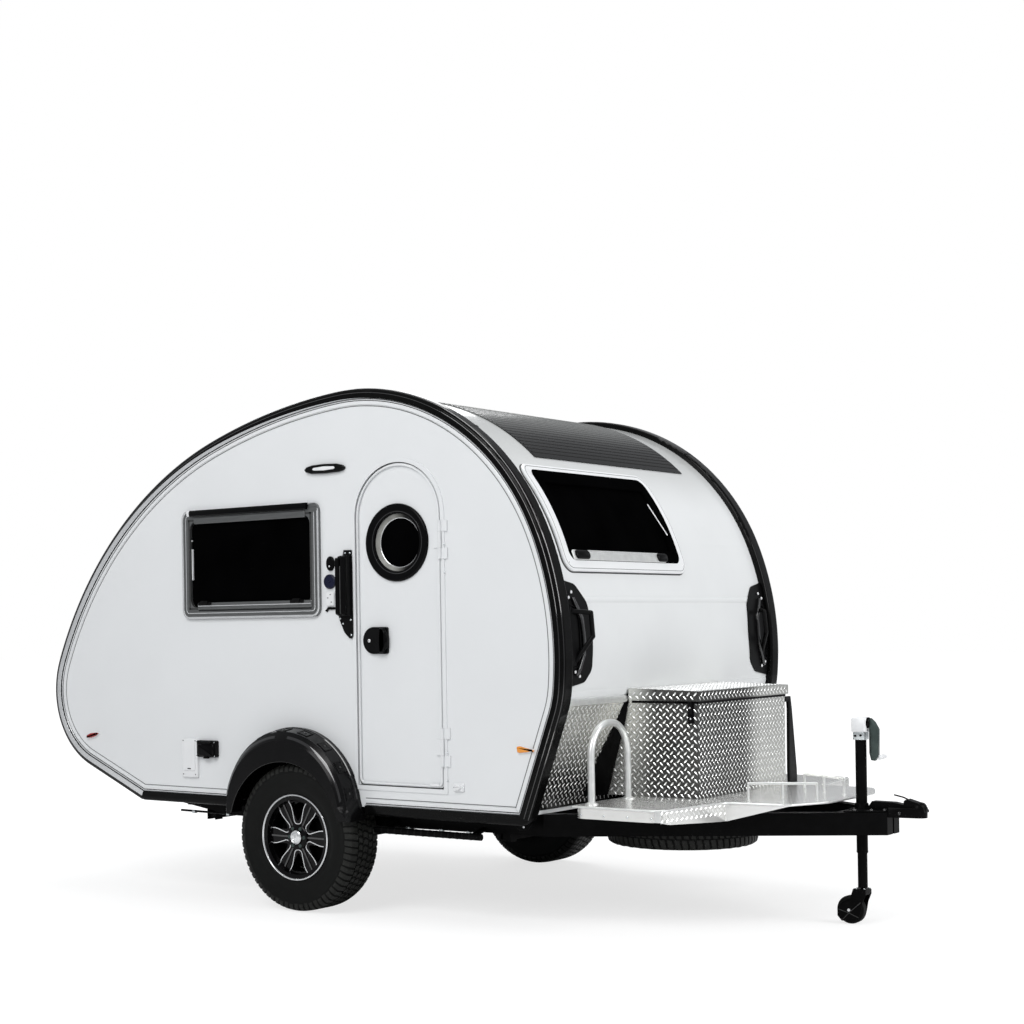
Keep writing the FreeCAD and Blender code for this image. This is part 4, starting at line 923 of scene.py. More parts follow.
def trim_beads():
    """Glossy ribs along the black mouldings, and a bright strip that widens towards the tail: painted
    reflection of the floor on the mouldings.
    """
    total = PROFILE[-1][3]
    angles = [TAU * k / 8 for k in range(8)]
    for side, name in SIDES:
        for label, y, out, size in (("side", TRIM_FACE, 0.02, 0.0022),
                                    ("corner", TRIM_FACE - 0.01, 0.038, 0.0028)):
            rings = [[outside(row, out + size * math.sin(a), side * (y + size * math.cos(a))) for a in angles]
                     for row in PROFILE]
            stack("trim_bead_%s_%s" % (label, name), rings, "shine")
        # bright strip on the moulding, widening towards the tail: painted reflection of the floor
        rings = []
        for row in PROFILE:
            share = min(1.0, max(0.0, (row[3] - total * 0.4) / (total * 0.3)))
            top = 0.026 * share - 0.0074
            section = ((-0.003, -0.008), (0.0009, -0.0074), (0.0009, top), (-0.003, top + 0.001))
            rings.append([outside(row, out, side * (TRIM_FACE + y)) for y, out in section])
        stack("trim_floor_reflection_" + name, rings, "bright")


# ---------------------------------------------------------------- wheel arches
ARCH_X = from_axle(-0.06)
LIP_X, LIP_Z, LIP_R = from_axle(-0.05), 0.38, 0.362
# (out from the wall, height of the arc's middle, radius) of the flare's skin
FLARE = [(0.022, 0.503, 0.402), (0.108, 0.497, 0.392), (0.132, 0.478, 0.379), (0.14, 0.474, 0.37)]
# sections of (growth of the lip's radius, out from the flare's face)
LIP_SECTION = ((0.0, -0.009), (-0.002, -0.003), (0.002, -0.0004), (0.008, -0.0002), (0.022, -0.0024),
               (0.0225, -0.007))
RIDGE_SECTION = ((0.03, -0.0052), (0.0315, -0.0012), (0.0345, -0.0004), (0.0375, -0.0012), (0.039, -0.0052))


def flare_point(angle, out, lift, side):
    """Point on the flare's outer skin; angle in degrees from the front, out from the wall."""
    for (o0, z0, r0), (o1, z1, r1) in zip(FLARE, FLARE[1:]):
        if out <= o1:
            break
    t = (out - o0) / (o1 - o0)
    mid, radius = z0 + (z1 - z0) * t, r0 + (r1 - r0) * t + lift
    a = math.radians(angle)
    return Vector((ARCH_X + radius * math.cos(a), side * (SIDE_Y + out), mid + radius * math.sin(a)))


def sweep(name, first, last, steps, section_at, mat):
    """Piece along an arc: section_at gives the ring at an angle in degrees."""
    stack(name, [section_at(first + (last - first) * k / steps) for k in range(steps + 1)], mat)


def fender_dress(side, name):
    """Rolled lip round the opening, creases along the flare, ridges, and its bolted pockets."""
    face = SIDE_Y + 0.14

    def lip_ring(angle):
        c, s = math.cos(math.radians(angle)), math.sin(math.radians(angle))
        return [Vector((LIP_X + (LIP_R + grow) * c, side * (face + out), LIP_Z + (LIP_R + grow) * s))
                for grow, out in LIP_SECTION]

    def ridge_ring(angle):
        c, s = math.cos(math.radians(angle)), math.sin(math.radians(angle))
        reaches = [(LIP_R + grow * (0.55 + 0.45 * s), out) for grow, out in RIDGE_SECTION]
        return [Vector((LIP_X + reach * c, side * (face + out), LIP_Z + reach * s)) for reach, out in reaches]

    low = math.degrees(math.asin((0.47 - LIP_Z) / LIP_R))
    # the lip in the lighter grey: painted highlight
    sweep("fender_%s_lip" % name, low, 180 - low, 64, lip_ring, "fender_lip")
    for label, out, lift, first, last in (("outer_front", 0.127, 0.004, 12, 84),
                                          ("outer_rear", 0.127, 0.004, 96, 168),
                                          ("inner", 0.028, 0.0035, 9, 171)):
        section = ((out - 0.006, -0.002), (out - 0.002, lift), (out + 0.002, lift), (out + 0.006, -0.002))
        sweep("fender_%s_crease_%s" % (name, label), first, last, 48,
              lambda angle: [flare_point(angle, o, h, side) for o, h in section], "shine")
    for label, first, last in (("front", 22, 86), ("rear", 98, 158)):
        sweep("fender_%s_ridge_%s" % (name, label), first, last, 40, ridge_ring, "shine")
    pads, heads = Builder(), []
    half_span, out, lift = 4.6, 0.07, 0.0045
    for angle in range(14, 155, 20):
        outline = round_rect(angle - half_span, angle + half_span, 0.044, 0.096, 0.01)
        pads.put(*layers([[flare_point(angle + (a - angle) * grow, out + (o - out) * grow, height, side)
                           for a, o in outline]
                          for grow, height in ((1.0, -0.002), (1.0, lift * 0.6), (0.97, lift), (0.8, lift),
                                               (0.74, lift * 0.35), (0.7, lift * 0.3))]))
        a = math.radians(angle)
        heads.append((flare_point(angle, out, 0.0015, side), (math.cos(a), side * 0.12, math.sin(a))))
    pads.make("fender_%s_pockets" % name, "fender")
    screw_heads("fender_%s_bolts" % name, heads, "shine", 0.0065, 0.0035)


# ---------------------------------------------------------------- windows
def frame_ring(name, outline, width, height, mat, place, edge, base):
    """Raised ring between an outline and the same outline moved inward by a width."""
    inner_drop = 0.004                          # the inner edge lies lower than the top
    edges = (outline, shrink(outline, edge), shrink(outline, width - edge), shrink(outline, width))
    steps = ((0, base), (0, height - edge), (1, height), (2, height), (3, height - inner_drop), (3, base))
    rings = [[place(u, v, rise) for u, v in edges[k]] for k, rise in steps]
    verts, faces = layers(rings, False)
    n = len(outline)
    top = 5 * n
    faces += [[top + i, top + (i + 1) % n, (i + 1) % n, i] for i in range(n)]
    return add(name, verts, faces, mat)


# window bars: name, x from and to, z from and to, corner, height over the frame, finish, edge, base
WINDOW_BARS = (
    # white strip along the top of the rail bar: painted highlight on its top lip
    ("rail_highlight", -0.762, 0.042, 2.0235, 2.0275, 0.001, 0.012, "frame_white", 0.001, 0.014),
    ("rail_end", -0.786, -0.764, 1.994, 2.024, 0.006, 0.014, "frame_white", 0.003, 0.014),
    ("rail_block", 0.046, 0.104, 1.976, 2.02, 0.014, 0.006, "alloy", 0.003, 0.014),
    ("drip", -0.742, 0.024, 1.952, 1.986, 0.008, 0.006, "alloy", 0.004, 0.004),
    ("ledge", -0.722, 0.062, 1.505, 1.541, 0.008, 0.005, "alloy", 0.004, 0.004),
    ("ledge_line", -0.716, 0.056, 1.5215, 1.5255, 0.001, 0.0075, "bright", 0.001, 0.012),
    ("slot", -0.716, 0.056, 1.4975, 1.502, 0.001, 0.003, "gloss_black", 0.0005, 0.01),
    ("catch_front", -0.078, 0.01, 1.527, 1.543, 0.005, 0.011, "plastic", 0.002, 0.01),
    ("lever_front", -0.058, -0.01, 1.532, 1.55, 0.004, 0.016, "plastic", 0.002, 0.012),
    ("catch_rear", -0.713, -0.622, 1.527, 1.543, 0.005, 0.011, "plastic", 0.002, 0.01),
    ("lever_rear", -0.693, -0.642, 1.532, 1.55, 0.004, 0.016, "plastic", 0.002, 0.012),
    ("stay", -0.7685, -0.764, 1.66, 1.822, 0.001, -0.0055, "frame_white", 0.0008, 0.0))


def side_window_dress(side, name):
    """Awning window: stepped aluminium frame, top rail bar, ledge with two catches and seals."""
    lo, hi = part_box("window_frame_" + name)
    place = side_place(side)
    proud = 0.016
    label = "window_%s_" % name
    outline = round_rect(lo.x, hi.x, lo.z, hi.z, 0.048, 8)
    for part, inset, width, rise, mat, edge, drop in (
            ("outer_lip", 0.0006, 0.011, 0.0035, "bright", 0.002, 0.004),
            ("mid_line", 0.027, 0.005, 0.0025, "bright", 0.001, 0.004),
            ("seal", 0.046, 0.013, 0.001, "seal", 0.002, 0.006)):
        frame_ring(label + part, shrink(outline, inset), width, proud + rise, mat, place, edge, proud - drop)
    rail = ((0.0, 1.99), (0.014, 1.99), (0.02, 1.996), (0.0205, 2.016), (0.014, 2.024), (0.0, 2.024))
    stack(label + "rail", [[place(from_axle(x), z, proud + out) for out, z in rail] for x in (-0.762, 0.042)],
          "gloss_black", bevel=0.001)
    for part, x0, x1, z0, z1, corner, rise, mat, edge, base in WINDOW_BARS:
        boss(label + part, rect(x0, x1, z0, z1, corner), place, proud + rise, mat, edge, base)
    pivot = place(from_axle(-0.766), 1.866, 0.009)
    screw_heads(label + "pivot", [(pivot, (0, side, 0))], "frame_white", 0.004, 0.002)


def bend(outline, longest=0.03):
    """Splits the long edges of an outline so that it can follow a curved panel."""
    out = []
    for (u0, v0), (u1, v1) in zip(outline, outline[1:] + outline[:1]):
        count = max(1, int(math.hypot(u1 - u0, v1 - v0) / longest))
        out += [(u0 + (u1 - u0) * k / count, v0 + (v1 - v0) * k / count) for k in range(count)]
    return out


def front_window_dress():
    """White ring, black glass border, gasket, latch bar with two knobs, and a stay."""
    y0, y1, z0, z1 = -0.928, 0.206, 1.641, 2.146
    outer = bend(round_rect(y0, y1, z0, z1, 0.07, 10))
    ring = frame_ring("front_window_ring", outer, 0.07, 0.016, "frame_white", front_place, 0.005, -0.002)
    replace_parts(ring, "window_frame_front")
    # thin grey line inside the white ring: painted shade
    frame_ring("front_window_lip", shrink(outer, 0.012), 0.003, 0.0167, "groove", front_place, 0.0008, 0.012)
    frame_ring("front_window_gasket", shrink(outer, -0.005), 0.01, 0.0035, "seal", front_place, 0.0015, 0.0)
    border = bend(round_rect(y0 + 0.055, y1 - 0.05, z0 + 0.048, z1 - 0.028, 0.045, 10))
    frame_ring("front_window_border", border, 0.062, 0.0175, "glass", front_place, 0.003, 0.0)
    for part, bar, height, mat, edge, base in (
            ("bar", (-0.85, 0.01, 1.692, 1.738, 0.014, 5), 0.0215, "tube", 0.004, 0.004),
            # bright line along the latch bar: painted reflection
            ("bar_highlight", (-0.842, 0.002, 1.7285, 1.732, 0.0015, 3), 0.0226, "bright", 0.0008, 0.012),
            ("knob_near", (-0.832, -0.706, 1.694, 1.737, 0.021, 8), 0.03, "gloss_black", 0.01, 0.004),
            ("knob_far", (-0.078, 0.02, 1.694, 1.737, 0.021, 8), 0.03, "gloss_black", 0.01, 0.004)):
        boss("front_window_" + part, bend(round_rect(*bar)), front_place, height, mat, edge, base)
    stay = tube([front_place(0.055, 1.985, 0.0195), front_place(0.108, 1.83, 0.0195)], 0.0028, 8)
    add("front_window_stay", *stay, "frame_white")
    points = [(front_place(y, 1.68, 0.0165), front_normal(1.68)) for y in (y0 + 0.034, y1 - 0.03)]
    screw_heads("front_window_screws", points, "bright", 0.0036, 0.002)


# ---------------------------------------------------------------- door
DOOR_X = middle("entry_door").x
DOOR_HALF = (from_axle(0.84) - from_axle(0.334)) / 2
DOOR_BASE, DOOR_TOP = 0.639, 2.184


def door_outline(inset, steps=28):
    half = DOOR_HALF - inset
    top = DOOR_TOP - DOOR_HALF
    foot = DOOR_BASE + inset
    x0, x1 = DOOR_X - half, DOOR_X + half
    corner = 0.03
    out = arc_points(x1 - corner, foot + corner, corner, -math.pi / 2, 0, 5)
    out += arc_points(DOOR_X, top, half, 0, math.pi, steps)
    out += arc_points(x0 + corner, foot + corner, corner, math.pi, 1.5 * math.pi, 5)
    return out


def door_dress():
    """Dark seal in the door gap and the raised edge of the door."""
    frame_ring("door_gap_seal", door_outline(-0.0052), 0.005, 0.0016, "seal", CURB, 0.0004, 0.0)
    lip = frame_ring("door_edge_lip", door_outline(0.004), 0.01, 0.0128, "wall", CURB, 0.002, 0.006)
    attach(lip, "door")


def hold_back():
    """White door hold-back: a plate and a round catch on the wall, a striker bump on the door."""
    for part, outline, height, edge, base, body in (
            ("plate", (0.899, 0.963, 0.627, 0.669, 0.012), 0.01, 0.004, 0.0, "trailer"),
            ("catch", (0.915, 0.947, 0.634, 0.662, 0.014), 0.022, 0.005, 0.006, "trailer"),
            ("bump", (0.774, 0.824, 0.647, 0.661, 0.006), 0.019, 0.003, 0.008, "door")):
        boss("hold_back_" + part, rect(*outline), CURB, height, "frame_white", edge, base, body)
    curb_screws("hold_back_screws", [(x, 0.648) for x in (0.906, 0.956)], 0.01, "zinc", 0.003, 0.0015)


def latch_dress():
    """Flared lever over the latch's plate: escutcheon, groove and lock."""
    proud = -SIDE_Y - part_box("door_latch")[0].y
    base = proud - 0.014
    grip = ((0.47, 1.282), (0.432, 1.284), (0.394, 1.318), (0.396, 1.35), (0.43, 1.392), (0.47, 1.392))
    lever = ((0.49, 1.398), (0.484, 1.36), (0.482, 1.32), (0.488, 1.276), (0.515, 1.277), (0.534, 1.31),
             (0.537, 1.34), (0.53, 1.372), (0.516, 1.397))
    groove = ((0.474, 1.276), (0.48, 1.276), (0.484, 1.398), (0.478, 1.398))
    for part, outline, height, mat, edge, foot in (
            ("escutcheon", grip, base + 0.004, "plastic", 0.003, base - 0.006),
            ("lever", lever, proud, "gloss_black", 0.01, 0.014),
            ("groove", groove, base + 0.0015, "gloss_black", 0.0005, base - 0.006)):
        boss("latch_" + part, shape(outline), CURB, height, mat, edge, foot, "door")
    lock = [(0.425, 1.335)]
    curb_screws("latch_lock", lock, base + 0.004, "frame_white", 0.0085, 0.004, "door")
    curb_screws("latch_key_slot", lock, base + 0.0082, "gloss_black", 0.0024, 0.001, "door")


def porthole_dress():
    """Ring's two gloss steps, its pale reveal with painted shade towards its front side, a bright line at its
    inner edge and the glass rim.
    """
    centre = Vector((DOOR_X, -SIDE_Y, middle("door_porthole").z))
    proud = -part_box("door_porthole")[0].y - SIDE_Y
    low = proud - 0.012
    bead = ((0.1525, proud - 0.004), (0.1505, proud), (0.1485, proud + 0.0006), (0.1465, proud),
            (0.145, proud - 0.004), (0.145, low), (0.1525, low))
    reveal = ((0.1418, proud - 0.008), (0.1416, low), (0.119, -0.0145), (0.1175, -0.0155), (0.1418, -0.0155))
    line = ((0.1205, -0.013), (0.119, -0.0118), (0.117, -0.013), (0.117, -0.0155), (0.1205, -0.0155))
    rim = ((0.1432, proud - 0.006), (0.1432, proud - 0.001), (0.1395, proud - 0.0005),
           (0.1375, proud - 0.006), (0.1375, low), (0.1432, low))
    for part, mat, profile in (("bead", "shine", bead), ("reveal", "reveal", reveal),
                               ("inner_line", "bright", line), ("inner_bead", "plastic", rim)):
        turned("porthole_" + part, profile + profile[:1], 96, centre, mat, "door", side=-1)


def hinge_dress():
    """Screws of the two door hinges."""
    points = [(0.868, z + dz) for z in (0.742, 1.717) for dz in (-0.066, 0.0, 0.066)]
    curb_screws("door_hinge_screws", points, 0.0062, "zinc", 0.0042, 0.002)


# ---------------------------------------------------------------- sockets and fittings on the curb wall
def hatch_dress():
    """White service hatch: bevelled tray, door with a pull slot, and four screws."""
    tray = boss("service_hatch", rect(-0.862, -0.746, 0.624, 0.829, 0.012), CURB, 0.014, "frame_white", 0.006)
    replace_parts(tray, "wall_fittings")
    door = rect(-0.846, -0.762, 0.66, 0.812, 0.01)
    boss("service_hatch_door", door, CURB, 0.0175, "frame_white", 0.002, 0.012)
    boss("service_hatch_pull", rect(-0.816, -0.792, 0.668, 0.674, 0.002), CURB, 0.0182, "seal", 0.0004, 0.012)
    corners = [(x, z) for x in (-0.848, -0.76) for z in (0.641, 0.818)]
    curb_screws("service_hatch_screws", corners, 0.0155, "seal", 0.0032, 0.0015)


def inlet_dress():
    """Power inlet: domed black cover over its plate with a slanted lower corner and a hinge."""
    base = boss("power_inlet_base", rect(-0.742, -0.604, 0.735, 0.822, 0.008), CURB, 0.024, "plastic", 0.004)
    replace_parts(base, "wall_fittings")
    cover = ((-0.728, 0.748), (-0.7, 0.738), (-0.618, 0.738), (-0.612, 0.744), (-0.612, 0.8), (-0.62, 0.806),
             (-0.722, 0.806), (-0.73, 0.798))
    boss("power_inlet_cover", shape(cover), CURB, 0.0345, "gloss_black", 0.01, 0.02)
    boss("power_inlet_hinge", rect(-0.712, -0.634, 0.807, 0.818, 0.004), CURB, 0.034, "plastic", 0.003, 0.016)
    boss("power_inlet_tab", rect(-0.69, -0.656, 0.7285, 0.737, 0.003), CURB, 0.03, "plastic", 0.003, 0.016)
    corners = [(x, z) for x in (-0.737, -0.609) for z in (0.742, 0.814)]
    curb_screws("power_inlet_screws", corners, 0.03, "zinc", 0.003, 0.0015)


def socket_dress():
    """Oval aerial socket, navy round plug, the white outlet with its marks, and a cable clip."""
    angles = [TAU * k / 32 for k in range(32)]
    oval = shape([(0.173 + 0.0245 * math.cos(a), 1.7165 + 0.036 * math.sin(a)) for a in angles])
    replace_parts(boss("oval_socket_rim", oval, CURB, 0.0115, "gloss_black"), "wall_fittings")
    curb_screws("oval_socket_pin", [(0.171, 1.703)], 0.0115, "frame_white", 0.0048, 0.003)
    plug = ((0.0358, 0.0), (0.0358, 0.0095), (0.031, 0.0125), (0.029, 0.0105), (0.006, 0.01), (0.005, 0.012),
            (0.001, 0.0122))
    centre = CURB(from_axle(0.168), 1.628, 0)
    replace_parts(turned("round_plug", plug, 40, centre, "navy", side=-1), "wall_fittings")
    plate = rect(0.144, 0.194, 1.509, 1.577, 0.006)
    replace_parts(boss("outlet_plate", plate, CURB, 0.008, "frame_white"), "wall_fittings")
    for k, (x, z) in enumerate(((0.155, 1.548), (0.172, 1.564), (0.178, 1.527))):
        mark = rect(x - 0.004, x + 0.004, z - 0.0025, z + 0.0025, 0.001)
        boss("outlet_mark_%d" % k, mark, CURB, 0.0094, "groove", 0.0003, 0.006)
    clip = ((0.136, 1.486), (0.149, 1.4775), (0.154, 1.49), (0.2, 1.49), (0.2, 1.502), (0.156, 1.5035),
            (0.146, 1.493))
    boss("cable_clip", shape(clip), CURB, 0.009, "gloss_black", 0.002)


def bracket_dress():
    """Folding table bracket: ear plate, arm with two bars and a rib, screws and pins."""
    face = 0.052
    plate = ((0.31, 1.777), (0.312, 1.69), (0.312, 1.36), (0.306, 1.349), (0.292, 1.351), (0.262, 1.378),
             (0.236, 1.432), (0.222, 1.47), (0.228, 1.7), (0.236, 1.744), (0.258, 1.752), (0.262, 1.777))
    arm = ((0.246, 1.748), (0.236, 1.722), (0.229, 1.56), (0.232, 1.466), (0.244, 1.458), (0.304, 1.458),
           (0.304, 1.752), (0.262, 1.752))
    made = [boss("table_bracket_plate", shape(plate), CURB, 0.0095, "plastic"),
            boss("table_bracket_arm", shape(arm), CURB, face - 0.012, "plastic", 0.004)]
    for k, (x0, x1, z0, z1) in enumerate(((0.236, 0.262, 1.464, 1.742), (0.27, 0.301, 1.462, 1.748))):
        bar = rect(x0, x1, z0, z1, 0.006)
        made.append(boss("table_bracket_bar_%d" % k, bar, CURB, face, "gloss_black", 0.006, 0.03))
    rib = rect(0.2635, 0.2675, 1.466, 1.7, 0.002)
    boss("table_bracket_rib", rib, CURB, face - 0.004, "alloy", 0.0015, 0.036)
    for piece in made:
        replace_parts(piece, "wall_fittings")
    screws = ((0.27, 1.764), (0.3, 1.764), (0.252, 1.42), (0.3, 1.438), (0.303, 1.364), (0.234, 1.445))
    curb_screws("table_bracket_screws", screws, 0.0095, "zinc", 0.0055, 0.003)
    pins = ((0.249, 1.48), (0.286, 1.48), (0.249, 1.726))
    curb_screws("table_bracket_pins", pins, face - 0.0035, "plastic", 0.007, 0.004)


# ---------------------------------------------------------------- lamps
PORCH_BODY = ((0.021, 2.187), (0.03, 2.174), (0.06, 2.166), (0.148, 2.1615), (0.236, 2.165), (0.266, 2.172),
              (0.2765, 2.184), (0.262, 2.197), (0.225, 2.206), (0.148, 2.2095), (0.072, 2.207), (0.036, 2.2))
PORCH_LENS = ((0.078, 2.186), (0.086, 2.179), (0.15, 2.176), (0.214, 2.179), (0.223, 2.186), (0.214, 2.193),
              (0.15, 2.1965), (0.086, 2.193))
# end, finish and outline of the teardrop side markers
MARKERS = (
    ("front", "amber", ((1.262, 0.82), (1.278, 0.8155), (1.318, 0.82), (1.35, 0.828), (1.3595, 0.836),
                        (1.318, 0.846), (1.278, 0.8548), (1.262, 0.852), (1.2575, 0.842))),
    ("rear", "red", ((-1.5999, 0.81), (-1.594, 0.807), (-1.56, 0.808), (-1.524, 0.819), (-1.5005, 0.835),
                     (-1.505, 0.843), (-1.53, 0.8455), (-1.57, 0.841), (-1.5975, 0.829))))


def lamps():
    """Porch lamp, teardrop side markers and rear clusters in place of the plain lamp blocks."""
    made = [boss("porch_lamp_body", shape(PORCH_BODY), CURB, 0.02, "plastic", 0.008),
            boss("porch_lamp_lens", shape(PORCH_LENS), CURB, 0.0235, "clear", 0.004, 0.014)]
    for side, name in SIDES:
        place = side_place(side)
        for end, mat, points in MARKERS:
            outline, label = shape(points), "marker_%s_%s_" % (end, name)
            made.append(boss(label + "base", outline, place, 0.006, "frame_white", 0.002))
            made.append(boss(label + "lens", shrink(outline, 0.004), place, 0.0155, mat, 0.007, 0.004))
    for side, name in SIDES:
        made += tail_lamp(side, name)
    for piece in made:
        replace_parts(piece, "lamps")


def tail_lamp(side, name):
    """Rear cluster: black tray, red stop lens, amber indicator and clear reversing lens."""
    z0, z1 = 1.01, 1.12
    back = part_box("lamps")[0].x
    label = "tail_lamp_%s_" % name

    def place(y, z, out):
        return Vector((back + 0.026 - out, side * y, z))

    tray = round_rect(0.64, 0.82, z0, z1, 0.016)
    made = [boss(label + "tray", tray, place, 0.017, "plastic", 0.004, -0.004)]
    for part, y0, y1, mat in (("stop", 0.648, 0.722, "red"), ("turn", 0.726, 0.778, "amber"),
                              ("reverse", 0.782, 0.812, "clear")):
        lens = round_rect(y0, y1, z0 + 0.008, z1 - 0.008, 0.006)
        made.append(boss(label + part, lens, place, 0.0255, mat, 0.003, 0.012))
    return made


# ---------------------------------------------------------------- roof
def box_verts(x0, x1, y0, y1, z0, z1):
    rings = [[Vector((x, y, z)) for x, y in ((x0, y0), (x1, y0), (x1, y1), (x0, y1))] for z in (z0, z1)]
    return layers(rings)


def solar_ribs():
    """Raised cell rows across the flexible panel."""
    lo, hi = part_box("solar_panel")
    start, end = math.radians(135.2), math.radians(179.2)
    rows = [r for r in PROFILE if start < r[2] < end]
    first, last = rows[0][3], rows[-1][3]
    film, margin, pitch = 0.005, 0.014, 0.0305
    built = Builder()
    for k in range(int((last - first - 0.03) / pitch)):
        at = first + 0.018 + k * pitch
        verts = [tail_place(at + step, y, film + lift)
                 for step, lift in ((0.0, -0.001), (0.003, 0.0012), (0.011, 0.0012), (0.014, -0.001))
                 for y in (lo.y + margin, hi.y - margin)]
        built.put(verts, [[0, 1, 3, 2], [2, 3, 5, 4], [4, 5, 7, 6]])
    built.make("solar_cells", "solar_rib", smooth=False)


def roof_dress():
    """Ribs on the vent's lid, and its flange with screws."""
    lo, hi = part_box("roof_vent_lid")
    cx, half = (lo.x + hi.x) / 2, (hi.x - lo.x) / 2

    def skin(x):
        near = min(PROFILE, key=lambda r: abs(r[0] - x) if r[1] > 2.2 else 9)
        return near[1] + SKIN_PROUD

    ribs = Builder()
    for y in (-0.12, -0.06, 0.0, 0.06, 0.12):
        ribs.put(*box_verts(cx - 0.14, cx + 0.14, y - 0.006, y + 0.006, hi.z - 0.012, hi.z - 0.0005))
    ribs.make("vent_lid_ribs", "frame_white", "vent", bevel=0.002)
    rim = bend(round_rect(cx - half - 0.03, cx + half + 0.03, -0.244, 0.244, 0.04, 6), 0.05)
    rings = [[Vector((x, y, skin(x) + z)) for x, y in shrink(rim, inset)]
             for inset, z in ((0.0, 0.0), (0.0, 0.01), (0.008, 0.014), (0.024, 0.014), (0.026, 0.0))]
    add("vent_flange", *layers(rings, False), "frame_white")
    stations = [cx - half + 2 * half * k / 6 for k in range(7)]
    points = [(Vector((x, y, skin(x) + 0.0135)), (0, 0, 1)) for x in stations for y in (-0.236, 0.236)]
    screw_heads("vent_flange_screws", points, "zinc", 0.004, 0.002)


def roof_seams():
    """Cover strip where two curved panels meet."""
    section = ((-0.014, 0.0002), (-0.011, 0.0025), (0.011, 0.0025), (0.014, 0.0002))
    cross_strip("roof_seam_0", PANEL_ENDS[3] - 0.3, section, "panel")


# ---------------------------------------------------------------- tail
def tail_span(low, high):
    """Distances along the outline of the tail's first and last rows between two heights."""
    rows = [r for r in PROFILE if r[0] < from_axle(-1.2) and low <= r[1] <= high]
    return rows[0][3], rows[-1][3]


def tail_dress():
    """Window rings, blank plate holder with its lamp, seam bars and two vents at the tail."""
    lo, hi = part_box("rear_window")
    first, last = tail_span(lo.z - 0.02, hi.z + 0.02)
    outline = bend(round_rect(first - 0.004, last + 0.01, -0.526, 0.526, 0.05, 8))
    for part, inset, width, height, mat, edge in (("gasket", 0.0, 0.01, 0.0035, "seal", 0.0015),
                                                  ("ring", 0.003, 0.054, 0.017, "frame_white", 0.004),
                                                  ("seal", 0.055, 0.008, 0.015, "gloss_black", 0.002)):
        frame_ring("rear_window_" + part, shrink(outline, inset), width, height, mat, tail_place, edge, 0.0)
    d0, d1 = tail_span(0.86, 1.02)
    for part, start, end, half, corner, steps, height, mat, edge, base in (
            ("plate_holder", d0, d1, 0.165, 0.012, 5, 0.006, "plastic", 0.002, 0.0),
            ("plate_blank", d0 + 0.008, d1 - 0.01, 0.152, 0.01, 5, 0.0085, "frame_white", 0.001, 0.004),
            ("plate_lamp", d0 - 0.036, d0 - 0.008, 0.035, 0.008, 5, 0.016, "plastic", 0.005, 0.0),
            ("plate_lamp_lens", d0 - 0.012, d0 - 0.007, 0.025, 0.002, 4, 0.013, "clear", 0.001, 0.0)):
        outline = bend(round_rect(start, end, -half, half, corner, steps))
        boss(part, outline, tail_place, height, mat, edge, base)
    for side, name in SIDES:
        y0, y1 = side * 0.39 - 0.055, side * 0.39 + 0.055
        vent = bend(round_rect(d0 + 0.005, d1 - 0.02, y0, y1, 0.01, 5))
        boss("tail_vent_" + name, vent, tail_place, 0.005, "frame_white", 0.002)
        slats = Builder()
        for k in range(5):
            at = d0 + 0.018 + k * (d1 - d0 - 0.05) / 4
            slat = round_rect(at - 0.004, at + 0.004, y0 + 0.01, y1 - 0.01, 0.002, 3)
            slats.put(*cushion(slat, tail_place, 0.0075, 0.0015, 0.003))
        slats.make("tail_vent_slats_" + name, "seal", smooth=False)
    section = ((-0.016, 0.0003), (-0.013, 0.003), (0.013, 0.003), (0.016, 0.0003))
    cross_strip("tail_seam_upper", first - 0.1, section, "wall")
    cross_strip("tail_seam_lower", PANEL_ENDS[-2] - 0.02, section, "wall")


# ---------------------------------------------------------------- tongue box details
def lid_dress():
    """Dark band on the tub just under the lid's edge (painted shade), its hinge pin and the two latches."""
    lo, hi = LID_LO, LID_HI
    # black boxes round the tub under the lid's edge: painted shade
    gap = Builder()
    z0, z1 = lo.z - 0.016, lo.z
    half, front = 0.4535, hi.x - 0.0125
    back = tub_back(1.03) + 0.02
    for side, _ in SIDES:
        gap.put(*box_verts(back, front, side * (half - 0.001), side * (half + 0.003), z0, z1))
    gap.put(*box_verts(front - 0.001, front + 0.003, -half, half, z0, z1))
    gap.make("tub_lid_shade_band", "gloss_black", smooth=False)
    x = from_axle(1.813)
    for side, name in SIDES:
        def place(x, z, out):
            return Vector((x, side * (TUB_HALF + out), z))

        plate = rect(1.798, 1.828, 0.932, 1.034, 0.004, 3)
        boss("tub_latch_plate_" + name, plate, place, 0.006, "gloss_black", 0.002)
        strap = rect(1.804, 1.822, 0.975, 1.034, 0.003, 3)
        boss("tub_latch_strap_" + name, strap, place, 0.012, "plastic", 0.003, 0.003)
        dots = [(place(x, z, out), (0, side, 0)) for z, out in ((0.955, 0.006), (1.006, 0.012))]
        screw_heads("tub_latch_screws_" + name, dots, "frame_white", 0.004, 0.002)
    pin = tube([Vector((lo.x + 0.004, y, hi.z - 0.0062)) for y in (-0.42, 0.42)], 0.006, 10)
    add("tub_lid_hinge_pin", *pin, "tube")


def tub_strap():
    """Black hold-down strap on the far side of the tub, from its rim to the deck."""
    x, foot = from_axle(1.84), DECK_Z + 0.001
    outline = ((0.496, 0.995), (0.5, 0.96), (0.494, 0.65), (0.5, foot), (0.586, foot), (0.586, 0.65),
               (0.538, 0.96), (0.524, 1.022), (0.462, 1.022), (0.462, 0.995))
    stack("tub_strap", [[Vector((x + out, y, z)) for y, z in shrink(outline, inset)]
                        for out, inset in ((-0.007, 0.003), (-0.005, 0.0), (0.005, 0.0), (0.007, 0.003))],
          "plastic")


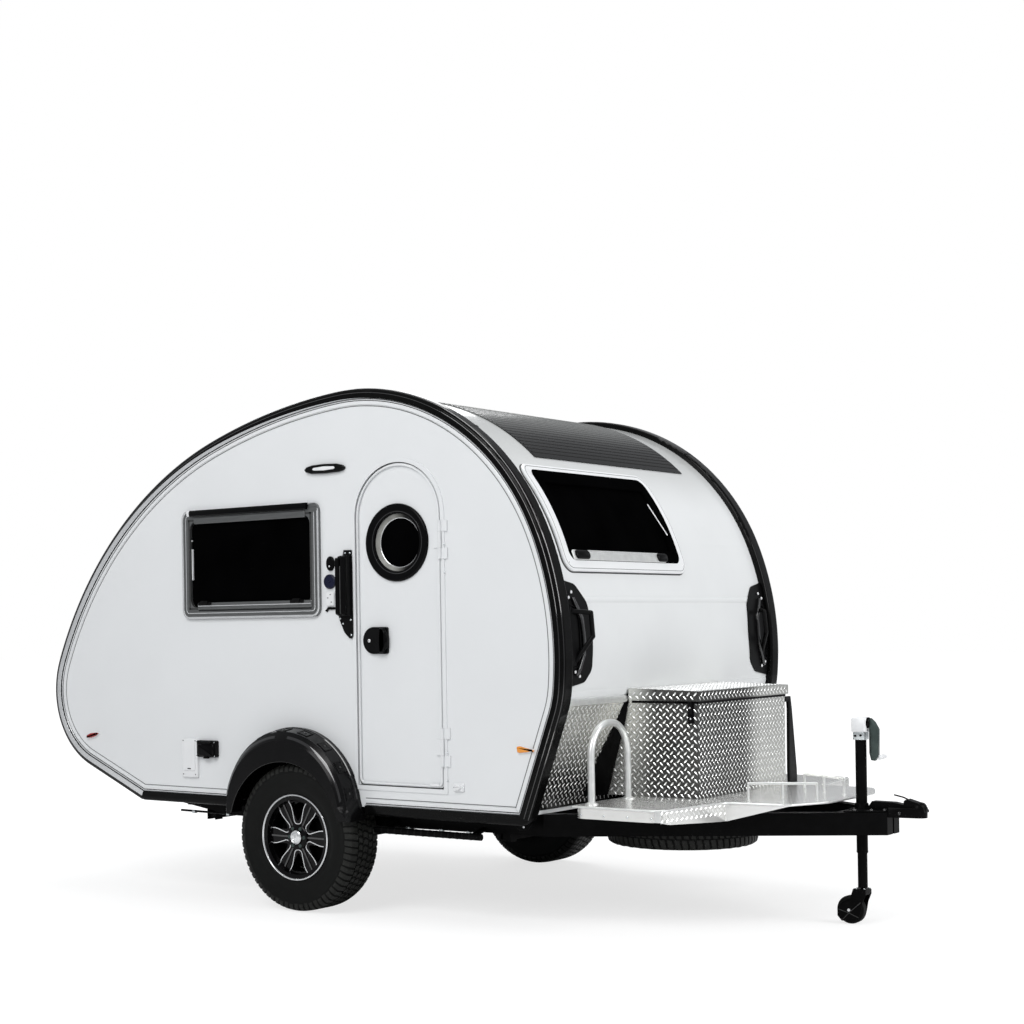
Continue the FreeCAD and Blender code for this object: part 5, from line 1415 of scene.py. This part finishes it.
def deck_fold():
    """Folded corner flanges and screws of the deck's skirt, and collars at the feet of the hoops."""
    points = []
    x = from_axle(1.945)
    for side, name in SIDES:
        points += [(Vector((from_axle(at), side * 0.9855, 0.545)), (0, side, 0))
                   for at in (1.54, 1.66, 1.78, 1.9)]
        y0, y1 = sorted((side * 0.983, side * 0.9868))
        fold = box_verts(x - 0.03, x + 0.002, y0, y1, SILL_Z + 0.002, DECK_Z - 0.003)
        add("deck_fold_" + name, *fold, "tube", bevel=0.0015)
    screw_heads("deck_screws", points, "zinc", 0.005, 0.0016)
    built = Builder()
    collar = ((0.0165, 0.012), (0.02, 0.01), (0.03, 0.004), (0.031, 0.0), (0.0165, 0.0), (0.0165, 0.012))
    for side, _ in SIDES:
        for y in (0.592, 0.914):
            built.put(*lathe(collar, 28, Vector((from_axle(1.555), side * y, DECK_Z)), "z"))
    built.make("hoop_collars", "tube")


# ---------------------------------------------------------------- jack, caster and coupler
# (radius, z) or (radius, along) profiles of the jack's turned parts
JACK_TUBE = ((0.0225, 0.33), (0.0255, 0.33), (0.0255, 0.874), (0.0, 0.874))
JACK_BORE = ((0.0225, 0.33), (0.0225, 0.8))
JACK_COLLAR = ((0.0255, 0.56), (0.03, 0.558), (0.034, 0.536), (0.04, 0.534), (0.0255, 0.534), (0.0255, 0.56))
JACK_CAP = ((0.001, 0.047), (0.02, 0.047), (0.0245, 0.043), (0.026, 0.036), (0.001, 0.036))
JACK_PIN = ((0.001, -0.004), (0.01, -0.004), (0.0115, 0.002), (0.0105, 0.055), (0.0085, 0.0755),
            (0.001, 0.076))
JACK_LIP = ((0.0219, 0.33), (0.0255, 0.33), (0.0265, 0.336), (0.0255, 0.342), (0.0219, 0.342), (0.0219, 0.33))
CRANK = ((0.044, 0.79), (0.052, 0.757), (0.07, 0.755), (0.086, 0.775), (0.088, 0.9), (0.07, 0.932),
         (0.05, 0.95), (0.044, 0.946))
CRANK_MIDDLE = (0.066, 0.85)


def slab(name, outline, levels, mat, **options):
    """Piece through levels of (z, inset) of an outline of (x, y)."""
    rings = [[Vector((x, y, z)) for x, y in shrink(outline, inset)] for z, inset in levels]
    return stack(name, rings, mat, **options)


def jack_dress():
    """Outer tube, sheet-metal gear head, clamp, black end cap, folded crank with a pale knob, and a base."""
    x = middle("jack_leg").x
    at = Vector((x, 0, 0))
    made = [turned("jack_outer_tube", JACK_TUBE, 40, at, "chassis", axis="z"),
            turned("jack_tube_bore", JACK_BORE, 40, at, "chassis", axis="z"),
            slab("jack_foot_plate", round_rect(x - 0.048, x + 0.048, -0.048, 0.048, 0.01, 4),
                 ((0.528, 0), (0.534, 0)), "chassis", bevel=0.002),
            turned("jack_weld_collar", JACK_COLLAR, 32, at, "chassis", axis="z")]
    rings = [[Vector((u, v, z)) for u, v in
              round_rect(x - 0.034 - grow, x + 0.036 + grow, -0.034 - grow, 0.034 + grow, 0.01, 5)]
             for z, grow in ((0.886, -0.003), (0.889, 0.0), (0.946, 0.0), (0.952, -0.004), (0.954, -0.01))]
    made.append(stack("jack_head", rings, "frame_white"))
    made.append(slab("jack_clamp", round_rect(x - 0.028, x + 0.029, -0.029, 0.029, 0.008, 4),
                     ((0.85, 0), (0.887, 0)), "zinc", bevel=0.003))
    bolts = [(Vector((x + u, -0.029, z)), CURB_OUT) for u, z in ((-0.014, 0.868), (0.012, 0.871))]
    made.append(screw_heads("jack_clamp_bolts", bolts, "chassis", 0.006, 0.004))
    verts, faces = lathe(JACK_CAP, 36, axis="z")
    turn = Matrix.Translation((x, 0, 0.928)) @ Matrix.Rotation(math.pi / 2, 4, "Y")
    made.append(add("jack_gear_cap", [turn @ v for v in verts], faces, "gloss_black"))
    rings = []
    for y, grow in ((-0.011, -0.003), (-0.009, 0.0), (0.009, 0.0), (0.011, -0.003)):
        rings.append([Vector((x + u + (grow if u > CRANK_MIDDLE[0] else -grow), y,
                              z + (grow if z > CRANK_MIDDLE[1] else -grow))) for u, z in CRANK])
    made.append(stack("jack_crank", rings, "crank"))
    # black strip along the crank's fold line: painted shade
    fold = ((0.0505, 0.9), (0.0505, 0.79), (0.0515, 0.79), (0.0515, 0.9))
    rings = [[Vector((x + u, y, z)) for u, z in fold] for y in (-0.0112, -0.0124)]
    made.append(stack("jack_crank_fold_shade", rings, "shine", smooth=False))
    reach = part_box("jack_tube")[1].x - 0.076
    made.append(turned("jack_knob", JACK_PIN, 24, Vector((reach, 0, 0.771)), "frame_white"))
    for piece in made:
        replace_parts(piece, "jack_tube")
    turned("jack_tube_lip", JACK_LIP, 36, at, "chassis", axis="z")


def caster_dress():
    """Pressed shield on each side of the caster wheel, with its creases, axle nuts and hub rings."""
    wheel = middle("caster_wheel")
    x, axle_z = wheel.x, 0.065
    shield = ((0.024, 0.16), (0.021, 0.134), (0.006, 0.118), (-0.034, 0.1), (-0.056, 0.072), (-0.056, 0.036),
              (-0.036, 0.014), (0.014, 0.012), (0.044, 0.022), (0.058, 0.06), (0.066, 0.104), (0.081, 0.14),
              (0.081, 0.16))
    creases = (((-0.05, 0.066), (0.0, 0.052), (0.058, 0.104)), ((-0.03, 0.02), (0.0, 0.052), (0.046, 0.034)))
    for side, name in SIDES:
        def place(u, z, out):
            return Vector((x + u, side * (0.0335 + out), z))

        boss("caster_shield_" + name, shield, place, 0.0024, "chassis", 0.0012, body="caster")
        lines = Builder()
        for path in creases:
            lines.put(*ribbon(path, 0.004, 0.002, 0.0042, place))
        # creases in the lighter lip grey: painted highlight along the folds
        lines.make("caster_creases_" + name, "fender_lip", "caster", smooth=False)
        nut = [(place(0.0, axle_z, 0.0024), (0, side, 0))]
        screw_heads("caster_nut_" + name, nut, "frame_white", 0.0075, 0.005, "caster")
    ring = ((0.0305, -0.0235), (0.033, -0.0262), (0.048, -0.0262), (0.0505, -0.0235), (0.0305, -0.0235))
    for side, name in SIDES:
        turned("caster_hub_ring_" + name, ring, 40, wheel, "plastic", "caster_roller", side=-side)
    bolts = [(Vector((x + u, v, 0.1652)), (0, 0, 1)) for u in (0.033, 0.073) for v in (-0.026, 0.026)]
    screw_heads("caster_crown_bolts", bolts, "zinc", 0.005, 0.003, "caster")


BALL_X = 2.71                    # middle of the hitch ball from the axle
COUPLER_DOME = ((0.037, 0.548), (0.0345, 0.56), (0.027, 0.5705), (0.015, 0.5745), (0.001, 0.575))
COUPLER_SOCKET = ((0.0257, 0.5045), (0.0257, 0.53), (0.018, 0.545), (0.001, 0.549))


def coupler_dress():
    """Pressed channel with a raised spine, the latch's cam housing and its long thin lever."""
    flank = [(2.5895, -0.062), (2.6, -0.062), (2.7, -0.041)]
    nose = arc_points(BALL_X, 0.0, 0.0378, -1.2, 1.2, 12)
    body = shape(flank + nose + [(x, -y) for x, y in reversed(flank)])
    ball = Vector((from_axle(BALL_X), 0, 0))
    levels = ((0.505, 0.001), (0.507, 0.0), (0.546, 0.0), (0.55, 0.004))
    made = [slab("coupler_body", body, levels, "chassis"),
            turned("coupler_ball_dome", COUPLER_DOME, 32, ball, "chassis", axis="z")]
    turned("coupler_socket", COUPLER_SOCKET, 32, ball, "gloss_black", axis="z")
    spine = ((2.662, 0.53), (2.662, 0.545), (2.655, 0.561), (2.6, 0.571), (2.5, 0.572), (2.47, 0.53))
    housing = ((2.7475, 0.53), (2.742, 0.552), (2.72, 0.572), (2.664, 0.588), (2.652, 0.58), (2.648, 0.53))
    for part, outline, half, edge in (("spine", spine, 0.026, 0.006), ("cam_housing", housing, 0.03, 0.01)):
        made.append(boss("coupler_" + part, shape(outline), lambda x, z, out: Vector((x, out - half, z)),
                         2 * half, "chassis", edge))
    for piece in made:
        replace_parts(piece, "coupler")
    corners = [Vector((from_axle(x), 0, z)) for x, z in ((2.596, 0.603), (2.64, 0.594), (2.66, 0.585))]
    add("coupler_lever", *tube(smooth_path(corners, 0.02), 0.0035, 8), "chassis")
    plate = shape(((2.42, -0.16), (2.585, -0.066), (2.585, 0.066), (2.42, 0.16)))
    slab("tongue_gusset", plate, ((0.5285, 0), (0.5345, 0)), "chassis", bevel=0.002)
    heads = [(Vector((from_axle(x), s * y, 0.5345)), (0, 0, 1))
             for x, y in ((2.455, 0.115), (2.52, 0.078), (2.57, 0.05)) for s in (-1, 1)]
    screw_heads("tongue_bolts", heads, "shine", 0.009, 0.007)
    heads = [(Vector((from_axle(x), s * 0.0575, 0.525)), (0, s, 0)) for x in (2.6, 2.64) for s in (-1, 1)]
    screw_heads("coupler_bolts", heads, "shine", 0.008, 0.004)


# (across from the moulding, z) outlines of the grab handles' parts
HANDLE_RECESS = [(0.018, 1.2), (0.07, 1.205), (0.096, 1.27), (0.1, 1.42), (0.085, 1.48), (0.03, 1.49),
                 (0.016, 1.45)]
HANDLE_WEB = [(0.046, 1.17), (0.066, 1.165), (0.12, 1.26), (0.128, 1.33), (0.122, 1.43), (0.07, 1.52),
              (0.05, 1.52), (0.1, 1.425), (0.108, 1.33), (0.102, 1.262)]
HANDLE_SCREWS = ((0.042, 1.185), (0.08, 1.165), (0.06, 1.545), (0.03, 1.52))


def handle_dress():
    """Recess rim, web and bright screws of the two grab handles."""
    points = []
    for side, name in SIDES:
        def place(u, z, out):
            return front_place(side * (TRIM_INNER - u), z, out)

        recess = bend(HANDLE_RECESS)
        frame_ring("handle_recess_rim_" + name, recess, 0.008, 0.0135, "gloss_black", place, 0.002, 0.004)
        boss("handle_web_" + name, bend(HANDLE_WEB), place, 0.0215, "shine", 0.004, 0.006)
        points += [(place(u, z, 0.0135), front_normal(1.19)) for u, z in HANDLE_SCREWS]
    screw_heads("handle_screws", points, "frame_white", 0.0075, 0.004)


# ---------------------------------------------------------------- chassis
def chassis_dress():
    """Bolts along the rails, wiring and its clips, front brackets, step grips and the spare's carrier."""
    heads = [(Vector((from_axle(x), side * 0.9213, 0.476)), (0, side, 0)) for side, _ in SIDES
             for x in (-1.05, -0.75, -0.48, 0.45, 0.62, 0.8, 0.98)]
    screw_heads("rail_bolts", heads, "shine", 0.009, 0.005)
    run = [(-1.05, 0.424), (-0.6, 0.4215), (0.4, 0.4215), (0.9, 0.424)]
    add("wiring_loom", *tube([Vector((from_axle(x), -0.896, z)) for x, z in run], 0.006, 8), "plastic")
    clips = Builder()
    for x in (-0.95, -0.7, 0.5, 0.7, 0.86):
        clips.put(*box_verts(from_axle(x) - 0.01, from_axle(x) + 0.01, -0.907, -0.885, 0.413, 0.4285))
    clips.make("wiring_clips", "zinc", bevel=0.002)
    plate = ((1.18, 0.48), (1.215, 0.458), (1.262, 0.462), (1.285, 0.49), (1.29, 0.526), (1.18, 0.526))
    for side, name in SIDES:
        def place(x, z, out):
            return Vector((x, side * (0.988 + out), z))

        boss("front_bracket_" + name, shape(plate), place, 0.008, "chassis", 0.002)
        dots = [(place(from_axle(x), z, 0.008), (0, side, 0)) for x, z in
                ((1.205, 0.484), (1.24, 0.474), (1.262, 0.5))]
        screw_heads("front_bracket_bolts_" + name, dots, "bright", 0.006, 0.003)
    grips = Builder()
    ring = ((0.016, -0.0045), (0.0172, -0.003), (0.0172, 0.003), (0.016, 0.0045), (0.015, 0.0))
    verts, faces = lathe(ring, 16, axis="z")
    across = Matrix.Rotation(math.pi / 2, 4, "Y")
    for k in range(14):
        grips.put(verts, faces, Matrix.Translation((from_axle(0.44 + k * 0.04), -1.021, 0.415)) @ across)
    grips.make("step_grips", "plastic")
    x, z = middle("spare_wheel").x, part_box("spare_wheel")[0].z
    bolt = tube([Vector((x, 0, z + 0.062)), Vector((x, 0, z + 0.19))], 0.012, 12)
    add("spare_carrier_bolt", *bolt, "zinc")
    bar = box_verts(x - 0.1, x + 0.1, -0.022, 0.022, z + 0.052, z + 0.06)
    add("spare_carrier_bar", *bar, "zinc", bevel=0.002)


# ---------------------------------------------------------------- stage and camera
# name, place, target, width, height and power of the area lights
LIGHTS = (
    ("key", (0.5, -8.0, 6.5), (0, 0, 1.0), 5.0, 5.0, 370),
    ("front_fill", (8.5, 0.5, 5.0), (0.6, 0, 1.2), 4.0, 4.0, 380),
    ("top", (-1.0, 1.5, 8.0), (0, 0, 1.0), 6.0, 6.0, 250),
    ("back_fill", (-6.5, 6.5, 5.0), (0, 0, 1.0), 5.0, 5.0, 190),
    ("edge_strip", (3.0, -6.0, 7.0), (0, 0, 1.2), 7.0, 0.35, 60))


def for_camera(nodes, seen, lit, output):
    """Sends `seen` to camera rays and `lit` to all others; both are (node, output name)."""
    mix = shader_node(nodes, "MixShader")
    wire(shader_node(nodes, "LightPath"), "Is Camera Ray", mix, "Fac")
    wire(*lit, mix, 1)
    wire(*seen, mix, 2)
    wire(mix, "Shader", output, "Surface")


def stage_and_light():
    """White world for the camera with a pale blue light, a white floor and five area lights."""
    scene = bpy.context.scene
    scene.view_settings.view_transform = "Standard"
    world = bpy.data.worlds.new("studio")
    scene.world = world
    world.use_nodes = True
    nodes = world.node_tree.nodes
    light = tune(nodes["Background"], Color=(0.95, 0.97, 1.0, 1), Strength=0.4)
    white = shader_node(nodes, "Background", Color=(1, 1, 1, 1), Strength=1.0)
    for_camera(nodes, (white, "Background"), (light, "Background"), nodes["World Output"])
    floor_mesh = bpy.data.meshes.new("studio_floor")
    half = 60.0
    floor_mesh.from_pydata([(-half, -half, 0), (half, -half, 0), (half, half, 0), (-half, half, 0)], [],
                           [(0, 1, 2, 3)])
    floor_obj = bpy.data.objects.new("studio_floor", floor_mesh)
    scene.collection.objects.link(floor_obj)
    floor_mesh.materials.append(floor_material())
    for light in LIGHTS:
        area_light(*light)


def area_light(name, where, target, width, height, power):
    data = bpy.data.lights.new(name, "AREA")
    data.shape = "RECTANGLE"
    data.size = width
    data.size_y = height
    data.energy = power
    obj = bpy.data.objects.new(name, data)
    bpy.context.scene.collection.objects.link(obj)
    obj.location = where
    obj.rotation_euler = (Vector(target) - Vector(where)).to_track_quat("-Z", "Y").to_euler()


def floor_material():
    """White floor: the camera sees white with the object's soft shadow, light bounces off pale grey."""
    mat, nodes, shader = new_material("studio_floor")
    ramp = colour_ramp(nodes, (0.0, (0.74, 0.74, 0.74)), (1.0, (0.76, 0.76, 0.76)))
    wire(shader_node(nodes, "TexNoise", Scale=30), "Fac", ramp, "Fac")
    wire(ramp, "Color", shader, "Base Color")
    tune(shader, Roughness=0.9, Specular_IOR_Level=0.0)
    reach = shader_node(nodes, "VectorMath")
    reach.operation = "LENGTH"
    wire(shader_node(nodes, "TexCoord"), "Object", reach, 0)
    far = shader_node(nodes, "MapRange", From_Min=3.0, From_Max=7.0, To_Min=0.72, To_Max=1.0)
    wire(reach, "Value", far, "Value")
    glow = shader_node(nodes, "Emission")
    wire(far, "Result", glow, "Strength")
    soft = shader_node(nodes, "BsdfDiffuse", Color=(0.34, 0.34, 0.34, 1))
    seen = shader_node(nodes, "AddShader")
    wire(glow, "Emission", seen, 0)
    wire(soft, "BSDF", seen, 1)
    for_camera(nodes, (seen, "Shader"), (shader, "BSDF"), nodes["Material Output"])
    return mat


def camera():
    """Level camera off the curb-side front corner."""
    turn = math.radians(38.714)
    roll = math.radians(-0.868)
    level = Vector((math.cos(turn), math.sin(turn), 0))
    upright = Vector((0, 0, 1))
    forward = Vector((-math.sin(turn), math.cos(turn), 0))
    right = level * math.cos(roll) + upright * math.sin(roll)
    up = upright * math.cos(roll) - level * math.sin(roll)
    data = bpy.data.cameras.new("camera")
    data.sensor_width = 36.0
    data.lens = 63.25
    data.shift_x, data.shift_y = 0.1439, 0.1107
    data.clip_end = 200
    obj = bpy.data.objects.new("camera", data)
    bpy.context.scene.collection.objects.link(obj)
    matrix = Matrix.Identity(4)
    for i, axis in enumerate((right, up, -forward)):
        matrix[0][i], matrix[1][i], matrix[2][i] = axis
    matrix.translation = Vector((from_axle(5.8431), -7.8826, 1.41))
    obj.matrix_world = matrix
    bpy.context.scene.camera = obj


# ---------------------------------------------------------------- assembly
camera()
stage_and_light()
dress_nodes()
paint_nodes()
tires()
rim_dress(-1, "right")
rim_dress(1, "left")
tub_plates()
deck_plates()
guard_plates()
front_moulding()
tub_gap_shades()
edge_lines()
trim_joints()
fender_dress(-1, "right")
fender_dress(1, "left")
side_window_dress(-1, "right")
side_window_dress(1, "left")
front_window_dress()
door_dress()
hold_back()
latch_dress()
porthole_dress()
hinge_dress()
hatch_dress()
inlet_dress()
socket_dress()
bracket_dress()
lamps()
trim_beads()
solar_ribs()
roof_dress()
roof_seams()
tail_dress()
lid_dress()
tub_strap()
deck_fold()
jack_dress()
caster_dress()
coupler_dress()
handle_dress()
chassis_dress()
